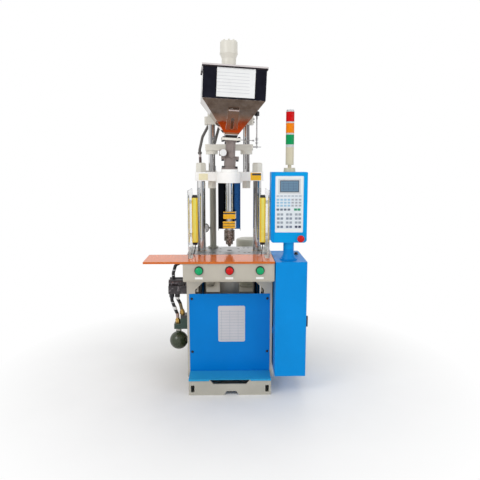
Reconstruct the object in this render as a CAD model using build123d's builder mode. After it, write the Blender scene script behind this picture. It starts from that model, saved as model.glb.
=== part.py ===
from build123d import *
import math
import os

os.makedirs("parts", exist_ok=True)

# Vertical bench-style injection moulding machine.
# Millimetres. +Z is up, the front faces -Y, +X is the operator's right.
# The origin is on the floor, under the injection axis.

# Driving dimensions of the frame
front_y = -342.0          # front of the base, the cabinet and the table
cover_y = -230.0          # front face of the frame above the base ledge
back_y = 430.0            # back of the frame
frame_half = 220.0        # half the width over the side plates
side_t = 12.0             # side plate thickness
wall_t = 8.0              # base and front frame plate thickness
sheet_t = 2.0             # folded sheet thickness
base_h = 84.0             # top of the base
skirt_z = 48.0            # lower edge of the side plates
table_z = 687.0           # working surface of the lower platen and the table
seat_gap = 0.3            # clearance between parts that move past each other
run_clear = 0.05          # radial clearance of a running fit
bolt_clear = 0.5          # radial clearance round a bolt or a bar that passes through a plate

# Driving dimensions of the clamp
tie_half = 152.5          # tie bar centres are twice this apart
tie_r = 22.5              # tie bar radius
platen_half = frame_half + 5    # half the width of the lower platen
platen_depth = 252.0      # lower platen, front to back
platen_t = 50.0           # lower platen thickness
upper_z = 1070.0          # underside of the upper platen
upper_t = 48.0            # upper platen thickness
upper_half = 182.0        # half the length of the upper platen
upper_depth = 100.0       # upper platen, front to back
upper_corner = 10.0       # corner radius of the upper platen
lobe_r = 68.0             # round lobe of the upper platen under the feed throat
lobe_y = -97.0            # centre of that lobe
lobe_drop = 8.0           # how far the lobe hangs below the platen
stroke_up = 140.0         # clamp travel above the place shown
stroke_down = 20.0        # clamp travel below the place shown

# Driving dimensions of the injection unit
rod_half = 93.0           # guide rod centres are twice this apart
rod_r = 18.0              # guide rod radius
beam_half = 130.0         # half the length of the top and moving beams
beam_depth = 70.0         # both beams, front to back
top_beam_z = 1366.0       # underside of the top beam
top_beam_t = 41.0
ram_beam_z = 1231.0       # underside of the moving beam
ram_beam_t = 32.0
inject_down = 42.0        # injection travel below the place shown
inject_up = 60.0          # injection travel above the place shown
plunger_r = 10.0

# Driving dimensions of the feed stack, which leans to the right and is turned a little
stack_x = 2.0
stack_y = -118.0
stack_lean = 2.6          # degrees to the right
stack_turn = 5.0          # degrees, seen from above
hopper_w = 304.0
hopper_d = 242.0
hopper_back = 70.0        # from the feed axis to the hopper's rear wall
hopper_side = 8.0         # how far the hopper sits left of the feed axis
hopper_sheet = 1.5

# Driving dimensions of the control cabinet and the controller
cab_x = frame_half + 6    # left side of the cabinet
cab_w = 155.0
cab_z = 98.0
cab_h = 586.0
cab_back = -6.0
ctl_x = cab_x - 22.5      # left side of the controller
ctl_w = 178.0
ctl_z = 774.0
ctl_h = 346.0
ctl_front = -302.0
ctl_depth = 90.0
post_x = cab_x + 71       # axis of the controller's pedestal
post_y = -260.0

# Worked out from the above
side_in = frame_half - side_t
platen_z = table_z - platen_t
platen_back = platen_depth / 2
upper_top = upper_z + upper_t
lobe_z = upper_z - lobe_drop
top_beam_top = top_beam_z + top_beam_t
ram_beam_top = ram_beam_z + ram_beam_t
cab_top = cab_z + cab_h
cab_right = cab_x + cab_w
ctl_top = ctl_z + ctl_h
ctl_back = ctl_front + ctl_depth
ctl_mid = ctl_x + ctl_w / 2


def save(piece, name):
    """Label a finished piece and write it as one STEP file."""
    piece.part.label = name
    export_step(piece.part, f"parts/{name}.step")


def front_plane(y):
    """A sketch plane that faces the operator: local x is +X and local y is +Z."""
    return Plane.XZ.offset(-y)


def side_plane(x):
    """A sketch plane that faces right: local x is +Y and local y is +Z."""
    return Plane.YZ.offset(x)


def level(z):
    """A horizontal sketch plane."""
    return Plane.XY.offset(z)


def outline(points, mode=Mode.ADD):
    """A closed face through the points, inside a sketch."""
    Polygon(*points, align=None, mode=mode)


# The welded base

base_half = side_in
deck_t = 8.0
notch_x = 8.0
notch_h = 21.0
slot_w = 18.0
slot_h = 37.0
slot_z = 15.0
slot_x = base_half - wall_t - slot_w / 2 - 3
vent_top = 105.0
vent_low = 83.0
vent_h = 26.0
anchor_x = base_half - wall_t - 50
anchor_y = 300.0
anchor_r = 7.0
foot_w = 70.0             # bottom flange along each side
base_mid = (front_y + back_y) / 2
base_len = back_y - front_y

with BuildPart() as base_frame:
    with BuildSketch(level(0)):
        with Locations((0, base_mid)):
            Rectangle(2 * base_half, base_len)
    extrude(amount=base_h)
    with BuildSketch(level(0)):
        with Locations((0, base_mid)):
            Rectangle(2 * (base_half - wall_t), base_len - 2 * wall_t)
    extrude(amount=base_h - deck_t, mode=Mode.SUBTRACT)
    with BuildSketch(level(base_h - deck_t)):
        with Locations((0, (front_y + cover_y) / 2 + wall_t / 2)):
            Rectangle(2 * (base_half - wall_t), cover_y - front_y - wall_t)
    extrude(amount=deck_t, mode=Mode.SUBTRACT)
    with BuildSketch(front_plane(front_y)):
        outline([
            (-vent_top, base_h), (vent_top, base_h),
            (vent_low, base_h - vent_h), (-vent_low, base_h - vent_h),
        ])
        outline([
            (notch_x - 38, 0), (notch_x + 38, 0),
            (notch_x + 25, notch_h), (notch_x - 25, notch_h),
        ])
        for side in (-1, 1):
            with Locations((side * slot_x, slot_z + slot_h / 2)):
                RectangleRounded(slot_w, slot_h, 3)
    extrude(amount=-wall_t, mode=Mode.SUBTRACT)
    with BuildSketch(level(0)):
        for side in (-1, 1):
            with Locations((side * (base_half - wall_t - foot_w / 2), base_mid)):
                Rectangle(foot_w, base_len - 2 * wall_t)
        with GridLocations(2 * anchor_x, 2 * anchor_y, 2, 2):
            Circle(anchor_r, mode=Mode.SUBTRACT)
    extrude(amount=wall_t)
save(base_frame, "base_frame")

# Side plates and the front frame

window_y0 = -160.0
window_y1 = 100.0
lower_window = ((110, 230),)
upper_window = ((400, 590),)     # right side only: the valves hang on the left plate
window_corner_r = 25.0
shoulder_cut = 60.0
front_corner_r = 10.0
shoulder_y = platen_back + 20
plate_low_z = 470.0

bracket_y = -190.0
bracket_t = 6.0
bracket_drop = 40.0
bracket_inset = 30.0      # the bracket stops short of the table's end
bracket_seat_w = 140.0    # flange that the table is screwed to
bracket_seat_d = 30.0
bracket_seat_t = 4.0
table_left = -frame_half - 202
table_t = 10.0
table_low = table_z - table_t

with BuildPart() as side_plates:
    for x0, windows in ((-frame_half, lower_window), (side_in, lower_window + upper_window)):
        with BuildSketch(side_plane(x0)) as shape:
            outline([
                (cover_y, skirt_z), (back_y, skirt_z), (back_y, plate_low_z),
                (shoulder_y + shoulder_cut, plate_low_z), (shoulder_y, plate_low_z + shoulder_cut),
                (shoulder_y, platen_z), (cover_y, platen_z),
            ])
            fillet(shape.vertices().sort_by(Axis.Y)[:2], front_corner_r)
            for z0, z1 in windows:
                with Locations(((window_y0 + window_y1) / 2, (z0 + z1) / 2)):
                    RectangleRounded(window_y1 - window_y0, z1 - z0, window_corner_r, mode=Mode.SUBTRACT)
        extrude(amount=side_t)
    with BuildSketch(front_plane(bracket_y)):
        outline([
            (-platen_half - 6, table_low), (table_left + bracket_inset, table_low),
            (table_left + bracket_inset, table_low - 8), (-frame_half - 20, table_low - 34),
            (-frame_half - 8, platen_z - bracket_drop), (-frame_half, platen_z - bracket_drop),
            (-frame_half, platen_z), (-platen_half - 6, platen_z),
        ])
    extrude(amount=-bracket_t)
    with BuildSketch(level(table_low - bracket_seat_t)):
        with Locations((table_left + bracket_inset + bracket_seat_w / 2, bracket_y)):
            Rectangle(bracket_seat_w, bracket_seat_d)
    extrude(amount=bracket_seat_t)
save(side_plates, "side_plates")

front_post_w = 31.5       # the frame's upright beside the opening
opening_half = side_in - front_post_w
opening_sill = base_h + 60
opening_top = 562.0
opening_cut = 42.0
rear_rail_h = 60.0       # rail under the back edge of the lower platen

with BuildPart() as front_frame:
    with BuildSketch(front_plane(cover_y)):
        with Locations((0, (base_h + platen_z) / 2)):
            Rectangle(2 * side_in, platen_z - base_h)
        outline([
            (-opening_half, opening_sill), (opening_half, opening_sill),
            (opening_half, opening_top - opening_cut),
            (opening_half - opening_cut, opening_top),
            (-opening_half + opening_cut, opening_top),
            (-opening_half, opening_top - opening_cut),
        ], mode=Mode.SUBTRACT)
    extrude(amount=-wall_t)
    with BuildSketch(front_plane(platen_back)):
        with Locations((0, platen_z - rear_rail_h / 2)):
            Rectangle(2 * side_in, rear_rail_h)
    extrude(amount=wall_t)
save(front_frame, "cross_frames")

# The blue front cover, its screws and the bare information plate

cover_half = side_in
cover_top = 499.0
ledge_out = 3.0
ledge_drop = 10.0
screw_x = cover_half - 13
screw_low = 189.0
screw_high = 473.0
screw_head_r = 7.0
screw_r = 3.0
card_x = 10.0
card_w = 139.0
card_h = 192.0
card_mid_z = 339.0

with BuildPart() as front_cover:
    with BuildSketch(side_plane(-cover_half)):
        outline([
            (cover_y, base_h), (cover_y, cover_top), (cover_y - sheet_t, cover_top),
            (cover_y - sheet_t, base_h + sheet_t), (front_y - ledge_out, base_h + sheet_t),
            (front_y - ledge_out, base_h - ledge_drop + sheet_t),
            (front_y - ledge_out + sheet_t, base_h - ledge_drop + sheet_t),
            (front_y - ledge_out + sheet_t, base_h),
        ])
    extrude(amount=2 * cover_half)
    with BuildSketch(front_plane(cover_y)):
        for z in (screw_low, screw_high):
            with Locations((-screw_x, z), (screw_x, z)):
                Circle(screw_r)
    extrude(amount=sheet_t, mode=Mode.SUBTRACT)
    with BuildSketch(level(base_h - ledge_drop)):
        with Locations((0, front_y - ledge_out)):
            Rectangle(2 * vent_top, 2 * sheet_t)
    extrude(amount=ledge_drop - sheet_t, mode=Mode.SUBTRACT)
save(front_cover, "front_cover")

with BuildPart() as cover_screws:
    for z in (screw_low, screw_high):
        for x in (-screw_x, screw_x):
            with BuildSketch(front_plane(cover_y)):
                with Locations((x, z)):
                    Circle(screw_r)
            extrude(amount=sheet_t)
            with BuildSketch(front_plane(cover_y - sheet_t)):
                with Locations((x, z)):
                    Circle(screw_head_r)
            extrude(amount=4, taper=25)
save(cover_screws, "cover_screws")

# Push button box under the table

box_x0 = -frame_half - 9
box_x1 = frame_half + 2.5
box_z0 = 587.0
box_top = 677.0
box_front = -335.0
button_x = (-150.0, 0.0, 150.0)
button_z = 642.0
button_hole_r = 11.0
button_r = 18.0
button_travel = 4.0
bezel_r = 22.5
bezel_t = 4.0
stem_r = 9.0
tag_z = 604.0

with BuildPart() as button_box:
    with BuildSketch(side_plane(box_x0)):
        outline([
            (cover_y, box_z0), (cover_y, box_top), (box_front, box_top), (box_front, box_z0),
        ])
    extrude(amount=box_x1 - box_x0)
    fillet(button_box.edges().filter_by(Axis.Z).group_by(Axis.Y)[0], 4)
    offset(amount=-sheet_t, openings=button_box.faces().sort_by(Axis.Y)[-1])
    with BuildSketch(level(box_z0)):
        with Locations(((box_x0 + box_x1) / 2, box_front - 2)):
            Rectangle(box_x1 - box_x0 - 12, 8)
    extrude(amount=sheet_t)
    with BuildSketch(front_plane(box_front)):
        with Locations(*[(x, button_z) for x in button_x]):
            Circle(button_hole_r)
    extrude(amount=-2 * sheet_t, mode=Mode.SUBTRACT)
save(button_box, "button_box")

def mushroom(x, z, y_face, head_r, travel, stem, depth):
    """A mushroom push button: a domed head on a stem that slides in its bezel."""
    y_back = y_face - travel - seat_gap
    rim = 0.2 * head_r
    dome = 0.42 * head_r
    dome_r = (dome ** 2 + head_r ** 2) / (2 * dome)
    half_turn = math.asin(head_r / dome_r) / 2
    dome_y = y_back - rim - dome + dome_r
    middle = (dome_y - dome_r * math.cos(half_turn), z + dome_r * math.sin(half_turn))
    with BuildPart() as button:
        with BuildSketch(side_plane(x)):
            with BuildLine():
                Polyline((y_back - rim - dome, z), (y_back, z), (y_back, z + head_r),
                         (y_back - rim, z + head_r))
                ThreePointArc((y_back - rim, z + head_r), middle, (y_back - rim - dome, z))
            make_face()
        revolve(axis=Axis((x, y_back, z), (0, 1, 0)))
        with BuildSketch(front_plane(y_back)):
            with Locations((x, z)):
                Circle(stem)
        extrude(amount=-depth)
    return button


for x, name in zip(button_x, ("left_start_button", "stop_button", "right_start_button")):
    save(mushroom(x, button_z, box_front - bezel_t, button_r, button_travel, stem_r, 24), name)

with BuildPart() as bare_plates:
    with BuildSketch(front_plane(cover_y - sheet_t)):
        with Locations((card_x, card_mid_z)):
            RectangleRounded(card_w, card_h, 9)
    extrude(amount=1.5)
    with BuildSketch(front_plane(box_front)):
        with Locations(*[(x - 1, tag_z) for x in button_x]):
            Rectangle(38, 10)
    extrude(amount=0.8)
save(bare_plates, "bare_plates")

# Orange table plate and its bracket on the left

table_right = frame_half + 2
table_back = -135.0

with BuildPart() as table_plate:
    with BuildSketch(level(table_low)):
        with Locations(((table_left + table_right) / 2, (front_y + table_back) / 2)):
            Rectangle(table_right - table_left, table_back - front_y)
    extrude(amount=table_t)
    fillet(table_plate.edges().filter_by(Axis.Z), 3)
    chamfer(table_plate.edges().group_by(Axis.Z)[-1], 0.8)
save(table_plate, "table_plate")

# Lower platen, its tie bar bushes and the clamp cylinder under it

bush_r = 30.0
bush_flange_r = 37.0
mould_hole_r = 5.0
mould_hole_depth = 25.0
mould_x = 51.0
mould_y = 55.0
outer_x = (82.0, 105.0)
outer_y = 78.0
centre_r = 15.0
cyl_r = 55.0
cyl_bore_r = 40.0
cyl_low = 395.0
gland_t = 20.0
clamp_rod_r = 22.5
cyl_flange = 150.0
cyl_flange_t = 20.0

with BuildPart() as lower_platen:
    with BuildSketch(level(platen_z)):
        Rectangle(2 * platen_half, platen_depth)
        with Locations((-tie_half, 0), (tie_half, 0)):
            Circle(bush_r, mode=Mode.SUBTRACT)
    extrude(amount=platen_t)
    chamfer(lower_platen.edges().filter_by(GeomType.LINE).group_by(Axis.Z)[-1], 1.5)
    with BuildSketch(level(table_z)):
        with GridLocations(2 * mould_x, 2 * mould_y, 2, 2):
            Circle(mould_hole_r)
        for x in outer_x:
            with GridLocations(2 * x, 2 * outer_y, 2, 2):
                Circle(mould_hole_r)
        Circle(centre_r)
    extrude(amount=-mould_hole_depth, mode=Mode.SUBTRACT)
save(lower_platen, "lower_platen")

with BuildPart() as tie_bar_bushes:
    with BuildSketch(level(platen_z)):
        with Locations((-tie_half, 0), (tie_half, 0)):
            Circle(bush_r)
            Circle(tie_r + run_clear, mode=Mode.SUBTRACT)
    extrude(amount=platen_t)
    with BuildSketch(level(platen_z)):
        with Locations((-tie_half, 0), (tie_half, 0)):
            Circle(bush_flange_r)
            Circle(tie_r + run_clear, mode=Mode.SUBTRACT)
    extrude(amount=-6)
save(tie_bar_bushes, "tie_bar_bushes")

with BuildPart() as clamp_cylinder:
    with BuildSketch(level(cyl_low)):
        Circle(cyl_r)
    extrude(amount=platen_z - cyl_low)
    with BuildSketch(level(platen_z - cyl_flange_t)):
        RectangleRounded(cyl_flange, cyl_flange, 12)
    extrude(amount=cyl_flange_t)
    with BuildSketch(level(cyl_low)):
        Circle(cyl_r + 6)
    extrude(amount=gland_t)
    with BuildSketch(level(cyl_low + gland_t)):
        Circle(cyl_bore_r)
    extrude(amount=platen_z - cyl_flange_t - cyl_low - gland_t, mode=Mode.SUBTRACT)
    with BuildSketch(level(cyl_low)):
        Circle(clamp_rod_r + run_clear)
    extrude(amount=gland_t, mode=Mode.SUBTRACT)
    chamfer(clamp_cylinder.edges().filter_by(GeomType.CIRCLE).group_by(Axis.Z)[0].sort_by(SortBy.RADIUS)[-1], 2)
save(clamp_cylinder, "clamp_cylinder")

# Parts that travel with the clamp: crosshead, ram, tie bars, nuts and the upper platen

head_low = 200.0
head_t = 40.0
head_half = 190.0
head_depth = 110.0
piston_low = cyl_low + gland_t + stroke_down + 2
piston_t = 30.0
nut_flats = 52.0
nut_h = 35.0
cap_h = 48.5
tie_low = head_low - nut_h
tie_high = upper_top + 36

with BuildPart() as crosshead:
    with BuildSketch(level(head_low)):
        Rectangle(2 * head_half, head_depth)
        with Locations((-tie_half, 0), (tie_half, 0)):
            Circle(tie_r, mode=Mode.SUBTRACT)
    extrude(amount=head_t)
    fillet(crosshead.edges().filter_by(Axis.Z).filter_by(GeomType.LINE), 20)
    with BuildSketch(level(head_low + head_t)):
        Circle(clamp_rod_r)
    extrude(amount=piston_low - head_low - head_t)
    with BuildSketch(level(piston_low)):
        Circle(cyl_bore_r - run_clear)
    extrude(amount=piston_t)
save(crosshead, "crosshead")

with BuildPart() as tie_bars:
    with BuildSketch(level(tie_low)):
        with Locations((-tie_half, 0), (tie_half, 0)):
            Circle(tie_r)
    extrude(amount=tie_high - tie_low)
save(tie_bars, "tie_bars")

barrel_r = 23.0
throat_disc_r = 44.0
throat_disc_h = 14.0

with BuildPart() as upper_platen:
    with BuildSketch(level(upper_z)):
        RectangleRounded(2 * upper_half, upper_depth, upper_corner)
    extrude(amount=upper_t)
    with BuildSketch(level(lobe_z)):
        with Locations((-3, lobe_y)):
            Circle(lobe_r)
    extrude(amount=upper_top - lobe_z)
    with BuildSketch(level(lobe_z)):
        Circle(barrel_r + 14)
    extrude(amount=upper_top - lobe_z)
    fillet(upper_platen.edges().group_by(Axis.Z)[-1], 3)
    with BuildSketch(level(upper_top)):
        with Locations((stack_x, stack_y)):
            Circle(throat_disc_r)
    extrude(amount=throat_disc_h)
    with BuildSketch(level(lobe_z)):
        with Locations((-tie_half, 0), (tie_half, 0)):
            Circle(tie_r)
        with Locations((-rod_half, 0), (rod_half, 0)):
            Circle(rod_r)
        Circle(barrel_r)
    extrude(amount=upper_top - lobe_z, mode=Mode.SUBTRACT)
save(upper_platen, "upper_platen")

# Barrel, nozzle and what hangs round them

barrel_low = 800.0
barrel_bore_low = 775.0
nozzle_r = 29.0
nozzle_low = 742.0
tip_z = 709.0
tip_r = 6.0
sleeve_r = 28.0
sleeve_low = 905.0
plunger_low = 950.0
band_r = 29.0
band_z = (864.0, 812.0)
band_h = 39.0
guard_half = 60.5
guard_low = 799.0
guard_front = -20.0
guard_rear = 60.0

with BuildPart() as barrel:
    with BuildSketch(level(barrel_low)):
        Circle(barrel_r)
    extrude(amount=upper_top - barrel_low)
    with BuildSketch(level(barrel_low)):
        Circle(plunger_r + run_clear)
    extrude(amount=upper_top - barrel_low, mode=Mode.SUBTRACT)
save(barrel, "barrel")

with BuildPart() as nozzle:
    with BuildSketch(Plane.XZ):
        with BuildLine():
            Polyline(
                (0, tip_z), (tip_r, tip_z), (tip_r + 5, tip_z + 11), (20, tip_z + 13),
                (20, nozzle_low), (nozzle_r, nozzle_low), (nozzle_r, barrel_low),
                (0, barrel_low), (0, tip_z),
            )
        make_face()
    revolve(axis=Axis.Z)
    with BuildSketch(level(barrel_bore_low)):
        Circle(plunger_r + run_clear)
    extrude(amount=barrel_low - barrel_bore_low, mode=Mode.SUBTRACT)
    with BuildSketch(level(tip_z)):
        Circle(2)
    extrude(amount=barrel_bore_low - tip_z, mode=Mode.SUBTRACT)
    with BuildSketch(level(barrel_low)):
        with PolarLocations(nozzle_r - 6, 6):
            Circle(3)
    extrude(amount=-6, mode=Mode.SUBTRACT)
save(nozzle, "nozzle")

with BuildPart() as barrel_jackets:
    for z in band_z:
        with BuildSketch(level(z)):
            Circle(band_r)
            with Locations((band_r + 2, 0)):
                Rectangle(12, 5)
            Circle(barrel_r, mode=Mode.SUBTRACT)
            with Locations((band_r, 0)):
                Rectangle(20, 1, mode=Mode.SUBTRACT)
        extrude(amount=band_h)
    with BuildSketch(level(sleeve_low)):
        Circle(sleeve_r)
        Circle(barrel_r, mode=Mode.SUBTRACT)
    extrude(amount=lobe_z - sleeve_low)
save(barrel_jackets, "barrel_jackets")

with BuildPart() as barrel_guard:
    with BuildSketch(level(guard_low)):
        outline([
            (-guard_half, guard_front), (-guard_half + sheet_t, guard_front),
            (-guard_half + sheet_t, guard_rear - sheet_t),
            (guard_half - sheet_t, guard_rear - sheet_t),
            (guard_half - sheet_t, guard_front), (guard_half, guard_front),
            (guard_half, guard_rear), (-guard_half, guard_rear),
        ])
    extrude(amount=upper_z - guard_low)
    with BuildSketch(level(upper_z - sheet_t)):
        with Locations((0, guard_rear - 10)):
            Rectangle(2 * guard_half, 20)
    extrude(amount=sheet_t)
save(barrel_guard, "barrel_guard")

# Guide rods, their nuts, the top beam and the injection cylinder

rod_step_r = 14.0
rod_low = 1034.0
rod_top = 1450.0
rod_nut_h = 40.0
rod_nut_flats = 42.0
top_nut_h = 47.0
cylinder_r = 38.0
cylinder_bore_r = 30.0
cylinder_top = 1727.0
cylinder_foot = 18.0
inject_rod_r = 15.0
cap_r = 46.0
cap_top = cylinder_top + 63
cap_bolts = 8

with BuildPart() as guide_rods:
    for x in (-rod_half, rod_half):
        with BuildSketch(Plane.XY.offset(upper_z)):
            with Locations((x, 0)):
                Circle(rod_r)
        extrude(amount=top_beam_z - upper_z)
        with BuildSketch(level(rod_low)):
            with Locations((x, 0)):
                Circle(rod_step_r)
        extrude(amount=rod_top - rod_low)
save(guide_rods, "guide_rods")

with BuildPart() as bar_nuts:
    with BuildSketch(level(upper_top)):
        with Locations((-tie_half, 0), (tie_half, 0)):
            RegularPolygon(nut_flats / 2, 6, major_radius=False, rotation=30)
    extrude(amount=cap_h)
    chamfer(bar_nuts.edges().group_by(Axis.Z)[-1], 6)
    with BuildSketch(level(upper_top)):
        with Locations((-tie_half, 0), (tie_half, 0)):
            Circle(tie_r)
    extrude(amount=tie_high - upper_top, mode=Mode.SUBTRACT)
    with BuildSketch(level(head_low)):
        with Locations((-tie_half, 0), (tie_half, 0)):
            RegularPolygon(nut_flats / 2 + 8, 6, major_radius=False)
            Circle(tie_r, mode=Mode.SUBTRACT)
    extrude(amount=-nut_h)
    with BuildSketch(level(upper_z)):
        with Locations((-rod_half, 0), (rod_half, 0)):
            RegularPolygon(rod_nut_flats / 2, 6, major_radius=False, rotation=30)
            Circle(rod_step_r, mode=Mode.SUBTRACT)
    extrude(amount=-rod_nut_h)
    with BuildSketch(level(top_beam_top)):
        with Locations((-rod_half, 0), (rod_half, 0)):
            RegularPolygon(rod_nut_flats / 2, 6, major_radius=False, rotation=30)
            Circle(rod_step_r, mode=Mode.SUBTRACT)
    extrude(amount=top_nut_h)
save(bar_nuts, "bar_nuts")

with BuildPart() as top_beam:
    with BuildSketch(level(top_beam_z)):
        RectangleRounded(2 * beam_half, beam_depth, 8)
        with Locations((-rod_half, 0), (rod_half, 0)):
            Circle(rod_step_r, mode=Mode.SUBTRACT)
        Circle(inject_rod_r + run_clear, mode=Mode.SUBTRACT)
    extrude(amount=top_beam_t)
    chamfer(top_beam.edges().filter_by(Plane.XY).group_by(Axis.Z)[-1].filter_by(GeomType.LINE), 1.5)
save(top_beam, "top_beam")

with BuildPart() as injection_cylinder:
    with BuildSketch(level(top_beam_top)):
        RectangleRounded(100, beam_depth, 10)
    extrude(amount=cylinder_foot)
    with BuildSketch(level(top_beam_top)):
        Circle(cylinder_r)
    extrude(amount=cylinder_top - top_beam_top)
    with BuildSketch(level(cylinder_top - 22)) as skirt:
        Circle(cylinder_r)
    with BuildSketch(level(cylinder_top)):
        Circle(cap_r)
    loft()
    with BuildSketch(level(cylinder_top)):
        Circle(cap_r)
    extrude(amount=cap_top - cylinder_top)
    fillet(injection_cylinder.edges().group_by(Axis.Z)[-1], 4)
    with BuildSketch(level(cylinder_top)):
        Circle(cap_r + 1.5)
    extrude(amount=9)
    with BuildSketch(level(top_beam_top + cylinder_foot)):
        Circle(cylinder_bore_r)
    extrude(amount=cylinder_top - 12 - top_beam_top - cylinder_foot, mode=Mode.SUBTRACT)
    with BuildSketch(level(top_beam_top)):
        Circle(inject_rod_r + run_clear)
    extrude(amount=cylinder_foot, mode=Mode.SUBTRACT)
    for z in (top_beam_top + 34, cylinder_top - 40):
        with BuildSketch(front_plane(cylinder_r - 6)):
            with Locations((0, z)):
                Circle(13)
        extrude(amount=-20)
save(injection_cylinder, "injection_cylinder")

# Moving injection beam with its bushes, plunger, ram and stroke rod

beam_bush_r = 32.0
beam_bush_drop = 20.0
ram_piston_z = 1530.0
ram_piston_t = 26.0
coupling_r = 25.0
coupling_h = 22.0
stroke_x = 149.0
stroke_top = 1436.5
stroke_r = 3.5
pin_x = 172.0

with BuildPart() as injection_beam:
    with BuildSketch(level(ram_beam_z)):
        RectangleRounded(2 * beam_half - 4, beam_depth, 8)
    extrude(amount=ram_beam_t)
    with BuildSketch(level(ram_beam_z)):
        with Locations((-rod_half, 0), (rod_half, 0)):
            Circle(beam_bush_r)
    extrude(amount=-beam_bush_drop)
    chamfer(injection_beam.edges().filter_by(GeomType.CIRCLE).group_by(Axis.Z)[0], 1.5)
    with BuildSketch(level(ram_beam_z - beam_bush_drop)):
        with Locations((-rod_half, 0), (rod_half, 0)):
            Circle(rod_r + run_clear)
    extrude(amount=ram_beam_t + beam_bush_drop, mode=Mode.SUBTRACT)
    with BuildSketch(level(ram_beam_z)):
        Circle(plunger_r)
    extrude(amount=ram_beam_t, mode=Mode.SUBTRACT)
save(injection_beam, "injection_beam")

with BuildPart() as plunger:
    with BuildSketch(level(plunger_low)):
        Circle(plunger_r)
    extrude(amount=ram_beam_top - plunger_low)
    chamfer(plunger.edges().group_by(Axis.Z)[0], 1)
save(plunger, "plunger")

with BuildPart() as injection_ram:
    with BuildSketch(level(ram_beam_top)):
        Circle(coupling_r)
    extrude(amount=coupling_h)
    with BuildSketch(level(ram_beam_top)):
        Circle(inject_rod_r)
    extrude(amount=ram_piston_z - ram_beam_top)
    with BuildSketch(level(ram_piston_z)):
        Circle(cylinder_bore_r - run_clear)
    extrude(amount=ram_piston_t)
save(injection_ram, "injection_ram")

with BuildPart() as stroke_rod:
    with BuildSketch(level(ram_beam_z + 12)):
        with Locations((stroke_x, 0)):
            Circle(stroke_r)
    extrude(amount=stroke_top - 16 - ram_beam_z - 12)
    with BuildSketch(level(ram_beam_z + 15)):
        with Locations(((beam_half - 2 + stroke_x + 6) / 2, 0)):
            Rectangle(stroke_x + 6 - beam_half + 2, 14)
    extrude(amount=8)
    for z0, z1 in ((ram_beam_z + 35, ram_beam_z + 46), (ram_beam_z + 52, ram_beam_z + 69)):
        with BuildSketch(level(z0)):
            with Locations((stroke_x, 0)):
                Circle(stroke_r + 3.5)
        extrude(amount=z1 - z0)
    with BuildSketch(side_plane(stroke_x)):
        with Locations((0, ram_beam_z + 19)):
            Circle(2)
    extrude(amount=pin_x - stroke_x)
    with BuildSketch(level(stroke_top - 23)):
        with Locations((stroke_x, 0)):
            Circle(13)
    extrude(amount=23)
    fillet(stroke_rod.edges().filter_by(GeomType.CIRCLE).group_by(Axis.Z)[-1], 3)
save(stroke_rod, "stroke_rod")

# Feed stack: throat, tube, slide gate and hopper, on a plane that leans and turns

lean = math.radians(stack_lean)
turn = math.radians(stack_turn)
stack_base = upper_top + throat_disc_h
stack = Plane(
    origin=(stack_x, stack_y, stack_base),
    x_dir=(math.cos(turn) * math.cos(lean), math.sin(turn), -math.cos(turn) * math.sin(lean)),
    z_dir=(math.sin(lean), 0, math.cos(lean)),
)
throat_r = 30.0
throat_h = 58.0
throat_flange_r = 42.0
tube_r = 25.5
tube_h = 88.0
feed_bore_r = 20.0
ear_w = 92.0
ear_d = 24.0
ear_t = 9.0
bolt_head_r = 6.5
bolt_head_h = 8.0
ear_x = 35.0
gate_w = 96.0
gate_d = 92.0
gate_t = 12.0
blade_w = 54.0
blade_t = 3.4
gate_travel = 48.0
gate_z = throat_h + tube_h
neck_h = 18.0
neck_low = 54.0
neck_top = 68.0
cone_z = gate_z + gate_t + neck_h
cone_h = 155.0
box_h = 154.0
hopper_front = hopper_back - hopper_d
hopper_mid = (-hopper_side, hopper_back - hopper_d / 2)
hopper_z = cone_z + cone_h
hopper_top = hopper_z + box_h


def up(distance):
    """A sketch plane across the stack, this far above its foot."""
    return stack.offset(distance)


with BuildPart() as feed_throat:
    with BuildSketch(up(-8)):
        Circle(throat_flange_r)
    extrude(amount=16)
    with BuildSketch(up(0)):
        Circle(throat_r)
    extrude(amount=throat_h)
    with BuildSketch(up(throat_h - ear_t)):
        SlotOverall(ear_w, ear_d)
    extrude(amount=ear_t)
    with BuildSketch(up(-8)):
        Circle(feed_bore_r)
    extrude(amount=throat_h + 8, mode=Mode.SUBTRACT)
    split(bisect_by=level(stack_base), keep=Keep.TOP)

spout_w = 34.0
spout_h = 30.0
spout_d = 44.0
spout_x = -40.0
spout_z = throat_h + 24
spout_front = -36.0
plug_r = 17.5
plug_stem_r = 11.0
knob_z = throat_h + 14
knob_x = 4.0
knob_r = 14.0
knob_stem_r = 4.0
knob_stem_h = 11.0
knob_boss_r = 11.0
knob_boss_h = 8.0         # the boss stands this far off the tube
plug_stem_h = 20.0

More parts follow.
